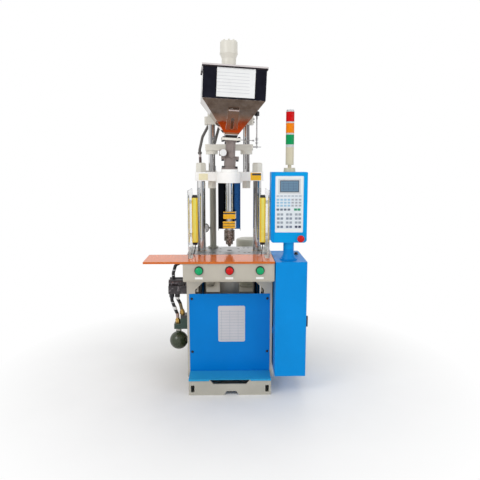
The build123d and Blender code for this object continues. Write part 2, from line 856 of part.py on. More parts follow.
with BuildPart() as feed_tube:
    with BuildSketch(up(throat_h)):
        Circle(tube_r)
    extrude(amount=tube_h)
    with BuildSketch(up(throat_h)):
        SlotOverall(ear_w, ear_d)
    extrude(amount=ear_t)
    with BuildSketch(up(throat_h + tube_h - 8)):
        Circle(tube_r + 6)
    extrude(amount=8)
    with BuildSketch(up(spout_z - spout_h / 2)):
        with Locations((spout_x, spout_front + spout_d / 2)):
            Rectangle(spout_w, spout_d)
        with Locations((spout_x / 2, 0)):
            Rectangle(-spout_x, 24)
    extrude(amount=spout_h)
    with BuildSketch(Plane(origin=stack.from_local_coords((knob_x, -tube_r - knob_boss_h, knob_z)),
                           x_dir=stack.x_dir, z_dir=-stack.y_dir)):
        Circle(knob_boss_r)
    extrude(amount=-2 * knob_boss_h)
    with BuildSketch(up(throat_h)):
        Circle(feed_bore_r)
    extrude(amount=tube_h, mode=Mode.SUBTRACT)
    with BuildSketch(Plane(origin=stack.from_local_coords((spout_x, spout_front, spout_z)),
                           x_dir=stack.x_dir, z_dir=-stack.y_dir)):
        Circle(plug_stem_r + seat_gap)
    extrude(amount=-plug_stem_h - 2, mode=Mode.SUBTRACT)
    with BuildSketch(Plane(origin=stack.from_local_coords((knob_x, -tube_r - knob_boss_h, knob_z)),
                           x_dir=stack.x_dir, z_dir=-stack.y_dir)):
        Circle(knob_stem_r + seat_gap)
    extrude(amount=-knob_stem_h - 1, mode=Mode.SUBTRACT)
    add(feed_throat.part)
save(feed_tube, "feed_tube")

with BuildPart() as cap_screws:
    with BuildSketch(level(cap_top)):
        with PolarLocations(cap_r - 12, cap_bolts):
            Circle(5.5)
            RegularPolygon(2.6, 6, mode=Mode.SUBTRACT)
    extrude(amount=7)
    for z in (top_beam_z + 13, top_beam_z + 28):
        with BuildSketch(side_plane(beam_half)):
            with Locations((-18, z)):
                Circle(5)
        extrude(amount=4.5)
    for x in (-ear_x, ear_x):
        with BuildSketch(up(8)):
            with Locations((x, -12), (x, 12)):
                Circle(bolt_head_r - 1)
        extrude(amount=bolt_head_h)
        with BuildSketch(up(throat_h - ear_t)):
            with Locations((x + math.copysign(3, x), 0)):
                Circle(bolt_head_r)
        extrude(amount=-bolt_head_h)
    for x in (-gate_w / 2 + 9, gate_w / 2 - 9):
        for y in (-gate_d / 2 + 9, gate_d / 2 - 9):
            with BuildSketch(up(gate_z + gate_t)):
                with Locations((x, y)):
                    Circle(bolt_head_r)
            extrude(amount=6)
            with BuildSketch(up(gate_z)):
                with Locations((x, y)):
                    RegularPolygon(bolt_head_r, 6)
            extrude(amount=-6)
save(cap_screws, "cap_screws")

with BuildPart() as discharge_plug:
    face = Plane(origin=stack.from_local_coords((spout_x, spout_front - seat_gap, spout_z)),
                 x_dir=stack.x_dir, z_dir=-stack.y_dir)
    with BuildSketch(face):
        Circle(plug_r)
    extrude(amount=8)
    fillet(discharge_plug.edges().sort_by(Axis.Y)[0], 2)
    with BuildSketch(face):
        Circle(plug_stem_r)
    extrude(amount=-plug_stem_h)
save(discharge_plug, "discharge_plug")

with BuildPart() as tube_knob:
    face = Plane(origin=stack.from_local_coords((knob_x, -tube_r - knob_boss_h - seat_gap, knob_z)),
                 x_dir=stack.x_dir, z_dir=-stack.y_dir)
    with BuildSketch(face):
        Circle(knob_r)
        with PolarLocations(knob_r + 3, 6):
            Circle(5, mode=Mode.SUBTRACT)
    extrude(amount=14)
    with BuildSketch(face):
        Circle(knob_stem_r)
    extrude(amount=-knob_stem_h)
save(tube_knob, "tube_knob")

with BuildPart() as gate_frame:
    with BuildSketch(up(gate_z)):
        RectangleRounded(gate_w, gate_d, 6)
    extrude(amount=gate_t)
    with BuildSketch(up(gate_z)):
        Circle(feed_bore_r)
    extrude(amount=gate_t, mode=Mode.SUBTRACT)
    with BuildSketch(up(gate_z + gate_t / 2 - blade_t / 2 - seat_gap)):
        with Locations((8, 0)):
            Rectangle(gate_w, blade_w + 2 * seat_gap)
    extrude(amount=blade_t + 2 * seat_gap, mode=Mode.SUBTRACT)
    with BuildSketch(up(gate_z + gate_t)):
        Rectangle(neck_low, neck_low)
    with BuildSketch(up(cone_z)):
        Rectangle(neck_top, neck_top)
    loft()
    with BuildSketch(up(gate_z + gate_t)):
        Circle(feed_bore_r)
    extrude(amount=neck_h, mode=Mode.SUBTRACT)
save(gate_frame, "gate_frame")

with BuildPart() as slide_gate:
    with BuildSketch(up(gate_z + gate_t / 2 - blade_t / 2)):
        with Locations((8, 0)):
            Rectangle(gate_w - 18, blade_w)
    extrude(amount=blade_t)
    with BuildSketch(Plane(origin=stack.from_local_coords((46, 0, gate_z + gate_t / 2)),
                           x_dir=stack.y_dir, z_dir=stack.x_dir)):
        Circle(blade_t / 2 - 0.1)
    extrude(amount=66)
    with BuildSketch(Plane(origin=stack.from_local_coords((112, 0, gate_z + gate_t / 2)),
                           x_dir=stack.y_dir, z_dir=stack.x_dir)):
        Circle(4)
    extrude(amount=9)
save(slide_gate, "slide_gate")

cone_slope = math.atan2(-hopper_front - neck_top / 2, cone_h)
sight_mid = cone_h * 0.44
sight_y = -neck_top / 2 - sight_mid * math.tan(cone_slope)
sight_w = 58.0
sight_h = 126.0
sight_slot_w = 15.0
sight_slot_h = 68.0
sight_drop = 24.0         # the slot's middle lies this far below the plate's
sight_t = 3.0
front_normal = -math.cos(cone_slope) * stack.y_dir - math.sin(cone_slope) * stack.z_dir
sight = Plane(
    origin=stack.from_local_coords((-hopper_side * sight_mid / cone_h, sight_y, cone_z + sight_mid)),
    x_dir=stack.x_dir,
    z_dir=front_normal,
)

with BuildPart() as hopper:
    for inset, mode in ((0, Mode.ADD), (hopper_sheet, Mode.SUBTRACT)):
        with BuildSketch(up(cone_z)):
            Rectangle(neck_top - 2 * inset, neck_top - 2 * inset)
        with BuildSketch(up(hopper_z)):
            with Locations(hopper_mid):
                Rectangle(hopper_w - 2 * inset, hopper_d - 2 * inset)
        loft(mode=mode)
        with BuildSketch(up(hopper_z)):
            with Locations(hopper_mid):
                Rectangle(hopper_w - 2 * inset, hopper_d - 2 * inset)
        extrude(amount=box_h, mode=mode)
    with BuildSketch(sight):
        with Locations((0, -sight_drop)):
            SlotOverall(sight_slot_h - 6, sight_slot_w - 3, rotation=90)
    extrude(amount=-4, mode=Mode.SUBTRACT)
    with BuildSketch(sight):
        RectangleRounded(sight_w, sight_h, 4)
        with Locations((0, -sight_drop)):
            SlotOverall(sight_slot_h, sight_slot_w, rotation=90, mode=Mode.SUBTRACT)
    extrude(amount=sight_t)
    with BuildSketch(Plane(origin=sight.from_local_coords((0, sight_h / 2 - 2, sight_t)),
                           x_dir=sight.x_dir, z_dir=sight.z_dir)):
        Rectangle(sight_w - 8, 7)
    extrude(amount=10)
save(hopper, "hopper")

with BuildPart() as sight_glass:
    with BuildSketch(sight):
        with Locations((0, -sight_drop)):
            SlotOverall(sight_slot_h, sight_slot_w, rotation=90)
    extrude(amount=1.5)
save(sight_glass, "sight_glass")

lid_over = 5.0
lid_t = 3.0
lid_lip = 12.0
lid_wall = 1.2
with BuildPart() as hopper_lid:
    with BuildSketch(up(hopper_top + seat_gap - lid_lip)):
        with Locations(hopper_mid):
            Rectangle(hopper_w + 2 * lid_over, hopper_d + 2 * lid_over)
    extrude(amount=lid_lip + lid_t)
    fillet(hopper_lid.edges().sort_by(Axis.Z)[-4:], 1.5)
    with BuildSketch(up(hopper_top + seat_gap - lid_lip)):
        with Locations(hopper_mid):
            Rectangle(hopper_w + 2 * lid_over - 2 * lid_wall, hopper_d + 2 * lid_over - 2 * lid_wall)
    extrude(amount=lid_lip, mode=Mode.SUBTRACT)
save(hopper_lid, "hopper_lid")

# Bare plates on the parts that travel: two amber ones in front of the heater bands,
# one at each end of the upper platen and a white one on the hopper

tag_w = 66.0
tag_t = 1.5
card_thin = 0.8
label_w = 183.0
label_h = 137.0

with BuildPart() as clamp_plates:
    for z, x in zip(band_z, (0, -2)):
        with BuildSketch(front_plane(-band_r)):
            with Locations((x, z + band_h / 2)):
                RectangleRounded(tag_w, band_h, 3)
        extrude(amount=tag_t)
    with BuildSketch(front_plane(-upper_depth / 2)):
        with Locations((upper_half - upper_corner - 30, upper_z + 23)):
            RectangleRounded(56, 40, 3)
        with Locations((-upper_half + upper_corner + 34, upper_z + 22)):
            RectangleRounded(48, 34, 2)
    extrude(amount=card_thin)
    label_mid = (6 - hopper_side, hopper_front, hopper_z + box_h / 2)
    with BuildSketch(Plane(origin=stack.from_local_coords(label_mid), x_dir=stack.x_dir, z_dir=-stack.y_dir)):
        Rectangle(label_w, label_h)
    extrude(amount=card_thin)
save(clamp_plates, "clamp_plates")

# Clear side guards, the safety light bars on them and their brackets

guard_t = 4.0
left_guard_x = -frame_half + 13     # outer face of the left guard
right_guard_x = frame_half - 22.5   # inner face of the right guard
guard_y0 = -259.0
guard_y1 = 55.0
guard_top = 1030.0
bar_w = 30.0
bar_d = 35.0
bar_y = -110.0
bar_z0 = 736.0
bar_z1 = 999.0
bar_cap = 14.0
bar_gap = 7.0             # from the light bar to the guard
cable_r = 2.5
cable_y = (table_back - platen_back) / 2
left_bar_x = left_guard_x + guard_t + bar_gap + bar_w / 2
right_bar_x = right_guard_x - bar_gap - bar_w / 2

with BuildPart() as side_guards:
    for x0 in (left_guard_x, right_guard_x):
        with BuildSketch(side_plane(x0)) as panel:
            outline([
                (guard_y0, table_z), (guard_y1, table_z), (guard_y1, guard_top), (guard_y0, guard_top),
            ])
            fillet(panel.vertices().group_by(Axis.Y)[-1], 10)
        extrude(amount=guard_t)
    chamfer(side_guards.edges().filter_by(Axis.Y), 0.6)
save(side_guards, "side_guards")

with BuildPart() as guard_brackets:
    for face_x, inward in ((left_guard_x + guard_t, 1), (right_guard_x, -1)):
        for y0, y1 in ((guard_y0 + 4, guard_y0 + 94), (-platen_back + 40, 40)):
            with BuildSketch(front_plane(y0)):
                outline([
                    (face_x, table_z), (face_x + inward * 16, table_z),
                    (face_x + inward * 16, table_z + 3), (face_x + inward * 3, table_z + 3),
                    (face_x + inward * 3, table_z + 20), (face_x, table_z + 20),
                ])
            extrude(amount=y0 - y1)
            for y in (y0 + 15, y1 - 15):
                with BuildSketch(level(table_z + 3)):
                    with Locations((face_x + inward * 10, y)):
                        Circle(4)
                extrude(amount=2.5)
        for z in (bar_z0 + 45, bar_z1 - 45):
            with BuildSketch(level(z)):
                with Locations((face_x + inward * bar_gap / 2, bar_y)):
                    Rectangle(bar_gap, 24)
            extrude(amount=16)
save(guard_brackets, "guard_brackets")

with BuildPart() as light_bars:
    for x, inward in ((left_bar_x, 1), (right_bar_x, -1)):
        with BuildSketch(level(bar_z0 + bar_cap)):
            with Locations((x, bar_y)):
                RectangleRounded(bar_w, bar_d, 3)
        extrude(amount=bar_z1 - bar_z0 - 2 * bar_cap)
        with BuildSketch(level(bar_z0 + bar_cap)):
            with Locations((x + inward * bar_w / 2, bar_y)):
                Rectangle(2.4, 14)
        extrude(amount=bar_z1 - bar_z0 - 2 * bar_cap, mode=Mode.SUBTRACT)
        for z, step in ((bar_z1 - bar_cap, 1), (bar_z0 + bar_cap, -1)):
            with BuildSketch(level(z)):
                with Locations((x, bar_y)):
                    RectangleRounded(bar_w - 0.6, bar_d - 0.6, 3)
            extrude(amount=step * bar_cap, taper=14)
        with BuildLine() as wire:
            FilletPolyline(
                (x, bar_y, bar_z0 + 2), (x, bar_y, bar_z0 - 18), (x - 4, bar_y - 8, bar_z0 - 34),
                (x - 8, cable_y, bar_z0 - 52), (x - 8, cable_y, table_z - 30),
                radius=9,
            )
        with BuildSketch(Plane(origin=wire.line @ 0, z_dir=wire.line % 0)):
            Circle(cable_r)
        sweep(path=wire.line)
save(light_bars, "light_bars")

# Hydraulics at the back: oil tank, motor with the pump under it, rear cover

tank_half = side_in - 13
tank_y0 = 170.0
tank_y1 = 415.0
tank_top = 400.0
tank_t = 3.0
lid_plate_t = 8.0
motor_x = 117.0
motor_y = 335.0
motor_r = 62.0
fin_r = 70.0
cowl_r = 75.0
cowl_z = 636.0
motor_top = 706.0
bell_h = 60.0
pump_r = 40.0

with BuildPart() as oil_tank:
    with BuildSketch(level(base_h)):
        with Locations((0, (tank_y0 + tank_y1) / 2)):
            Rectangle(2 * tank_half, tank_y1 - tank_y0)
    extrude(amount=tank_top - base_h)
    offset(amount=-tank_t, openings=oil_tank.faces().sort_by(Axis.Z)[-1])
    with BuildSketch(level(tank_top)):
        with Locations((0, (tank_y0 + tank_y1) / 2)):
            RectangleRounded(2 * tank_half + 8, tank_y1 - tank_y0 + 8, 6)
        with Locations((motor_x, motor_y)):
            Circle(pump_r + bolt_clear, mode=Mode.SUBTRACT)
    extrude(amount=lid_plate_t)
    with BuildSketch(level(tank_top + lid_plate_t)):
        with Locations((-120, 330)):
            Circle(24)
    extrude(amount=34)
    with BuildSketch(level(tank_top + lid_plate_t + 12)):
        with Locations((-120, 330)):
            Circle(32)
    extrude(amount=18)
save(oil_tank, "oil_tank")

with BuildPart() as pump_motor:
    motor_z = tank_top + lid_plate_t + bell_h
    with BuildSketch(level(tank_top + lid_plate_t)):
        with Locations((motor_x, motor_y)):
            Circle(motor_r + 6)
    extrude(amount=10)
    with BuildSketch(level(tank_top + lid_plate_t)):
        with Locations((motor_x, motor_y)):
            Circle(motor_r - 10)
    extrude(amount=bell_h)
    with BuildSketch(level(motor_z)):
        with Locations((motor_x, motor_y)):
            Circle(motor_r)
            with PolarLocations((motor_r + fin_r) / 2, 20):
                Rectangle(fin_r - motor_r + 2, 3)
    extrude(amount=cowl_z - motor_z)
    with BuildSketch(level(cowl_z)):
        with Locations((motor_x, motor_y)):
            Circle(cowl_r)
    extrude(amount=motor_top - cowl_z)
    fillet(pump_motor.edges().group_by(Axis.Z)[-1], 14)
    with BuildSketch(level(motor_top)):
        with Locations((motor_x, motor_y)):
            with PolarLocations(20, 10):
                SlotOverall(22, 4)
            with PolarLocations(44, 16):
                SlotOverall(16, 4)
    extrude(amount=-5, mode=Mode.SUBTRACT)
    with BuildSketch(level(motor_z + 50)):
        with Locations((motor_x, motor_y - fin_r - 12)):
            Rectangle(70, 44)
    extrude(amount=60)
    with BuildSketch(level(tank_top + lid_plate_t)):
        with Locations((motor_x, motor_y)):
            Circle(pump_r)
    extrude(amount=-150)
    with BuildSketch(level(tank_top + lid_plate_t - 150)):
        with Locations((motor_x, motor_y)):
            Circle(28)
    extrude(amount=-70)
save(pump_motor, "pump_motor")

with BuildPart() as rear_cover:
    with BuildSketch(front_plane(back_y + sheet_t)):
        with Locations((0, (base_h + plate_low_z) / 2)):
            Rectangle(2 * frame_half, plate_low_z - base_h)
        with Locations((0, (base_h + plate_low_z) / 2)):
            with GridLocations(170, 26, 2, 7):
                SlotOverall(120, 8, mode=Mode.SUBTRACT)
    extrude(amount=sheet_t)
save(rear_cover, "rear_cover")

# Hydraulics on the left: valves, manifold, accumulator and hoses. left(d) is d outside the side plate.


def left(distance):
    return -frame_half - distance


valve_y = -50.0
valve_out = 115.0
valve_depth = 124.0
valve_t = 45.0
valve_low = 455.0
valve_top = valve_low + valve_t
coil_r = 17.0
manifold_low = 262.0
manifold_top = 338.0
manifold_out = 50.0
foot_out = 85.0
foot_t = 28.0
acc_out = 63.0
acc_r = 50.0
acc_z = 190.0
hose_r = 9.0
elbow_z = 622.0

with BuildPart() as valve_manifold:
    with BuildSketch(front_plane(valve_y - 30)):
        outline([
            (left(0), manifold_low), (left(foot_out), manifold_low),
            (left(foot_out), manifold_low + foot_t), (left(manifold_out), manifold_low + foot_t),
            (left(manifold_out), manifold_top), (left(0), manifold_top),
        ])
    extrude(amount=-60)
    with BuildSketch(level(manifold_low)):
        with Locations((left(acc_out), valve_y)):
            Circle(15)
    extrude(amount=-30)
    with Locations((left(acc_out), valve_y, acc_z)):
        Sphere(acc_r)
    with BuildSketch(level(valve_low)):
        with Locations((left(valve_out / 2), 0)):
            Rectangle(valve_out, valve_depth)
    extrude(amount=valve_t)
    for y in (-30, 30):
        with BuildSketch(side_plane(left(valve_out))):
            with Locations((y, valve_top + coil_r - 5)):
                Circle(coil_r)
        extrude(amount=valve_out - 25)
    with BuildSketch(level(valve_top)):
        with Locations((left(45), 0)):
            Rectangle(34, valve_depth - 14)
    extrude(amount=18)
save(valve_manifold, "valve_manifold")


def hose(points, radius, bends, sleeve_at=(), sleeve=(11.0, 14)):
    """A hose along straight runs and tangent arcs, with printed sleeves on it."""
    with BuildPart() as tube:
        with BuildLine() as route:
            FilletPolyline(*points, radius=bends)
        with BuildSketch(Plane(origin=route.line @ 0, z_dir=route.line % 0)):
            Circle(radius)
        sweep(path=route.line)
        for t in sleeve_at:
            mark = Plane(origin=route.line @ t, z_dir=route.line % t)
            with BuildSketch(mark):
                Circle(sleeve[0])
            extrude(amount=sleeve[1])
    return tube


def fitting(point, direction, flats=24.0, length=20.0):
    """A hex hose fitting standing on a port."""
    with BuildPart() as swivel:
        with BuildSketch(Plane(origin=point, z_dir=direction)):
            RegularPolygon(flats / 2, 6, major_radius=False)
        extrude(amount=length)
        with BuildSketch(Plane(origin=point, z_dir=direction)):
            Circle(flats / 2 - 2)
        extrude(amount=length + 8)
    return swivel


top_port = left(92)
low_port = left(98)
mid_port = left(67)
block_port = left(42)
side_hoses = (
    ((top_port, 0, valve_top + 14), (left(93), 0, valve_top + 60), (left(80), 4, elbow_z - 18),
     (left(42), 2, elbow_z), (left(8), 0, elbow_z)),
    ((low_port, valve_y, valve_low - 6), (low_port, valve_y, valve_low - 37), (left(82), valve_y - 6, valve_low - 81),
     (left(68), valve_y - 2, manifold_top), (mid_port, valve_y, manifold_low + 42)),
    ((mid_port, valve_y, valve_low - 6), (mid_port, valve_y, valve_low - 27),
     (left(52), valve_y - 4, manifold_top + 62), (block_port, valve_y, manifold_top + 14)),
)
with BuildPart() as hydraulic_hoses:
    add(hose(side_hoses[0], hose_r, 24, (0.75,)).part)
    add(hose(side_hoses[1], hose_r, 22, (0.46,)).part)
    add(hose(side_hoses[2], hose_r, 14, (0.1,), (11.0, 9)).part)
    add(fitting((top_port, 0, valve_top), (0, 0, 1)).part)
    add(fitting((left(0), 0, elbow_z), (-1, 0, 0)).part)
    add(fitting((low_port, valve_y, valve_low), (0, 0, -1)).part)
    add(fitting((mid_port, valve_y, manifold_low + foot_t), (0, 0, 1)).part)
    add(fitting((mid_port, valve_y, valve_low), (0, 0, -1)).part)
    add(fitting((block_port, valve_y, manifold_top), (0, 0, 1)).part)
save(hydraulic_hoses, "hydraulic_hoses")

port_low_z = top_beam_top + 34
port_high_z = cylinder_top - 40
port_y = cylinder_r + 14
block_y0 = upper_depth / 2
block_d = 26.0
block_mid_y = block_y0 + block_d / 2
hose_x1 = -tie_half - 6.5
hose_x2 = hose_x1 + 73
hose_foot = upper_top + 32


def between(low, high, part):
    """A height that lies this part of the way from low to high."""
    return low + (high - low) * part


clamp_routes = (
    ((0, port_y + 14, port_low_z), (-6, 84, port_low_z), (-60, 86, port_low_z - 17),
     (-112, 78, between(hose_foot, port_low_z, 0.76)), (-146, 70, between(hose_foot, port_low_z, 0.54)),
     (hose_x1 - 3, 64, between(hose_foot, port_low_z, 0.3)), (hose_x1, block_mid_y, hose_foot + 30),
     (hose_x1, block_mid_y, hose_foot)),
    ((0, port_y + 14, port_high_z), (-2, 88, port_high_z - 4), (-8, 96, between(hose_foot, port_high_z, 0.91)),
     (-14, 96, between(hose_foot, port_high_z, 0.76)), (-24, 92, between(hose_foot, port_high_z, 0.61)),
     (-42, 84, between(hose_foot, port_high_z, 0.47)), (-64, 74, between(hose_foot, port_high_z, 0.335)),
     (hose_x2 + 4, 66, between(hose_foot, port_high_z, 0.21)), (hose_x2, block_mid_y, hose_foot + 46),
     (hose_x2, block_mid_y, hose_foot)),
)

with BuildPart() as clamp_hoses:
    with BuildSketch(level(upper_top - 30)):
        with Locations(((hose_x1 + hose_x2) / 2, block_mid_y)):
            Rectangle(hose_x2 - hose_x1 + 30, block_d)
    extrude(amount=36)
    add(hose(clamp_routes[0], 7.5, 14, (0.8,), (11.0, 12)).part)
    add(hose(clamp_routes[1], 7.5, 14).part)
    add(fitting((0, port_y, port_low_z), (0, 1, 0), 22).part)
    add(fitting((0, port_y, port_high_z), (0, 1, 0), 22).part)
    for x in (hose_x1, hose_x2):
        add(fitting((x, block_mid_y, upper_top + 6), (0, 0, 1), 22, 26).part)
save(clamp_hoses, "clamp_hoses")

# Riser with the pressure gauge, behind the left tie bar

riser_x = -92.0
riser_y = 94.0
riser_r = 18.0
riser_top = 1055.0
gauge_z = 801.0
gauge_r = 26.0
gauge_t = 24.0
gauge_rim = 3.0
gauge_stem_r = 5.0
riser_flange_r = riser_r + 11
riser_flange_t = 8.0
gauge_x = riser_x - riser_r - gauge_r - 4

with BuildPart() as gauge_post:
    with BuildSketch(level(table_z)):
        with Locations((riser_x, riser_y)):
            Circle(riser_flange_r)
    extrude(amount=riser_flange_t)
    with BuildSketch(level(table_z)):
        with Locations((riser_x, riser_y)):
            Circle(riser_r)
    extrude(amount=riser_top - table_z)
    chamfer(gauge_post.edges().group_by(Axis.Z)[-1], 2)
    with BuildSketch(side_plane(gauge_x)):
        with Locations((riser_y, gauge_z)):
            Circle(gauge_stem_r)
    extrude(amount=riser_x - gauge_x)
    with BuildSketch(front_plane(riser_y - gauge_t / 2)):
        with Locations((gauge_x, gauge_z)):
            Circle(gauge_r)
    extrude(amount=-gauge_t)
    with BuildSketch(front_plane(riser_y - gauge_t / 2)):
        with Locations((gauge_x, gauge_z)):
            Circle(gauge_r - gauge_rim)
    extrude(amount=-gauge_rim + 1, mode=Mode.SUBTRACT)
save(gauge_post, "gauge_post")

# Control cabinet on the right, with its door on the far side

hinge_x = cab_right + 2.0
hinge_y = cab_back - 6.0
hinge_r = 4.0
pin_r = 2.0
knuckle_h = 24.0
door_t = 1.7
door_x = cab_right - 2.0
hinge_z = (cab_z + 90, cab_top - 90)
spacer_z = (300.0, 613.0)     # blocks between the cabinet and the machine's side
spacer_y = cover_y + 110
spacer_w = 200.0
spacer_h = 36.0
latch_y = front_y + 26
latch_z = (cab_z + cab_top) / 2
latch_r = 9.0

with BuildPart() as cabinet_shell:
    with BuildSketch(level(cab_z)):
        with Locations(((cab_x + door_x) / 2, (front_y + cab_back) / 2)):
            Rectangle(door_x - cab_x, cab_back - front_y)
    extrude(amount=cab_h)
    offset(amount=-sheet_t, openings=cabinet_shell.faces().sort_by(Axis.X)[-1])
    with BuildSketch(side_plane(frame_half)):
        for z in spacer_z:
            with Locations((spacer_y, z)):
                Rectangle(spacer_w, spacer_h)
    extrude(amount=cab_x - frame_half)
    for z in hinge_z:
        for z0 in (z - knuckle_h * 1.5, z + knuckle_h * 0.5):
            with BuildSketch(level(z0)):
                with Locations((hinge_x, hinge_y)):
                    Circle(hinge_r)
                with Locations(((door_x + hinge_x) / 2 - 0.5, hinge_y + 2)):
                    Rectangle(hinge_x - door_x + 1, 3)
            extrude(amount=knuckle_h)
        with BuildSketch(level(z - knuckle_h * 1.5)):
            with Locations((hinge_x, hinge_y)):
                Circle(pin_r)
        extrude(amount=3 * knuckle_h)
save(cabinet_shell, "cabinet_shell")

with BuildPart() as cabinet_door:
    with BuildSketch(side_plane(door_x + seat_gap)):
        outline([
            (front_y, cab_z), (hinge_y - hinge_r - 5, cab_z),
            (hinge_y - hinge_r - 5, cab_top), (front_y, cab_top),
        ])
        with Locations((latch_y, latch_z)):
            Circle(latch_r + run_clear, mode=Mode.SUBTRACT)
    extrude(amount=door_t)
    for z in hinge_z:
        with BuildSketch(level(z - knuckle_h / 2 + seat_gap)):
            with Locations((hinge_x, hinge_y)):
                Circle(hinge_r)
            with Locations((door_x + seat_gap + door_t + 0.75, hinge_y - 14)):
                Rectangle(1.5, 28)
            with Locations((hinge_x, hinge_y)):
                Circle(pin_r + run_clear, mode=Mode.SUBTRACT)
        extrude(amount=knuckle_h - 2 * seat_gap)
save(cabinet_door, "cabinet_door")

with BuildPart() as door_latch:
    with BuildSketch(side_plane(door_x - 10)):
        with Locations((latch_y, latch_z)):
            Circle(latch_r)
    extrude(amount=10 + seat_gap + door_t + 6)
    with BuildSketch(side_plane(door_x + 2 * seat_gap + door_t)):
        with Locations((latch_y, latch_z - 14)):
            SlotOverall(56, 16, rotation=90)
    extrude(amount=10)
    with BuildSketch(side_plane(door_x - 10)):
        with Locations((latch_y, latch_z - 10)):
            Rectangle(14, 38)
    extrude(amount=3)
save(door_latch, "door_latch")

gland_x = cab_x + 127
gland_y = -130.0
gear_heights = (110.0, 90.0, 80.0)
gear_pitch = 165.0
gear_depth = 70.0
with BuildPart() as cabinet_electrics:
    with BuildSketch(side_plane(cab_x + sheet_t)):
        outline([
            (front_y + 30, cab_z + 30), (cab_back - 30, cab_z + 30),
            (cab_back - 30, cab_top - 40), (front_y + 30, cab_top - 40),
        ])
    extrude(amount=3)
    for row, height in enumerate(gear_heights):
        z = cab_z + 90 + row * gear_pitch
        with BuildSketch(side_plane(cab_x + sheet_t + 3)):
            with Locations(((front_y + cab_back) / 2, z)):
                Rectangle(250, 35)
        extrude(amount=8)
        with BuildSketch(side_plane(cab_x + sheet_t + 11)):
            with Locations(((front_y + cab_back) / 2, z)):
                with GridLocations(58, 1, 4, 1):
                    Rectangle(46, height)
        extrude(amount=gear_depth)
    with BuildSketch(level(cab_top)):
        with Locations((gland_x, gland_y)):
            RegularPolygon(11, 6)
    extrude(amount=6)
    with BuildSketch(level(cab_top)):
        with Locations((gland_x, gland_y)):
            Circle(8)
    extrude(amount=14)
save(cabinet_electrics, "cabinet_electrics")

# Controller on its pedestal, with the emergency stop and the signal light

ped_flange_r = 44.0
ped_r = 26.5
estop_x = ctl_x + 147.5
estop_z = ctl_z + 20
estop_r = 17.5
estop_stem = 8.0
recess_t = 3.0
face_t = 6.0
screen_x = ctl_x + 89.5
screen_w = 138.0
screen_z0 = ctl_z + 51
screen_z1 = ctl_z + 327
light_x = post_x + 0.5
light_y = -250.0
light_r = 20.0

with BuildPart() as pedestal:
    with BuildSketch(front_plane(post_y)):
        with BuildLine():
            Polyline((post_x, cab_top), (post_x + ped_flange_r, cab_top),
                     (post_x + ped_flange_r, cab_top + 6), (post_x + ped_r + 12, cab_top + 6))
            Spline((post_x + ped_r + 12, cab_top + 6), (post_x + ped_r + 2, cab_top + 26),
                   (post_x + ped_r, cab_top + 50), tangents=((-0.4, 1), (0, 1)))
            Polyline((post_x + ped_r, cab_top + 50), (post_x + ped_r, ctl_z), (post_x, ctl_z),
                     (post_x, cab_top))
        make_face()
    revolve(axis=Axis((post_x, post_y, cab_top), (0, 0, 1)))
    with BuildSketch(level(cab_top + 6)):
        with Locations((post_x, post_y)):
            with PolarLocations(ped_flange_r - 7, 4, start_angle=45):
                RegularPolygon(4.5, 6)
    extrude(amount=5)
save(pedestal, "pedestal")

with BuildPart() as controller_case:
    for inset, y0, mode in ((0, ctl_front, Mode.ADD), (sheet_t, ctl_front + face_t, Mode.SUBTRACT)):
        with BuildSketch(front_plane(y0)) as face_shape:
            with Locations((ctl_mid, ctl_z + ctl_h / 2)):
                Rectangle(ctl_w - 2 * inset, ctl_h - 2 * inset)
            fillet(face_shape.vertices().group_by(Axis.Y)[0], 15 - inset)
            fillet(face_shape.vertices().group_by(Axis.Y)[-1], 5 - inset)
        extrude(amount=y0 - ctl_back, mode=mode)
    with BuildSketch(front_plane(ctl_front)):
        with Locations((screen_x, (screen_z0 + screen_z1) / 2)):
            RectangleRounded(screen_w, screen_z1 - screen_z0, 5)
    extrude(amount=-recess_t, mode=Mode.SUBTRACT)
    with BuildSketch(front_plane(ctl_front)):
        with Locations((estop_x, estop_z)):
            Circle(estop_stem + 3)
    extrude(amount=-face_t, mode=Mode.SUBTRACT)
    with BuildSketch(front_plane(ctl_back)):
        with Locations((ctl_mid, ctl_z + ctl_h / 2)):
            Rectangle(ctl_w - 2, ctl_h - 2)
            with GridLocations(1, 12, 1, 6):
                SlotOverall(90, 5, mode=Mode.SUBTRACT)
    extrude(amount=-1.5)
save(controller_case, "controller_case")

key_w = 13.0
key_h = 9.0
key_pitch = 18.0
key_x0 = screen_x - 56
key_rows = (ctl_z + 212, ctl_z + 197.5, ctl_z + 183)
pair_rows = (ctl_z + 140, ctl_z + 120, ctl_z + 100, ctl_z + 79)
pair_x = [screen_x + step for step in (-53, -36, -9, 8, 35, 52)]
strip_z = ctl_z + 230
function_z = ctl_z + 164
lcd_z = ctl_z + 277

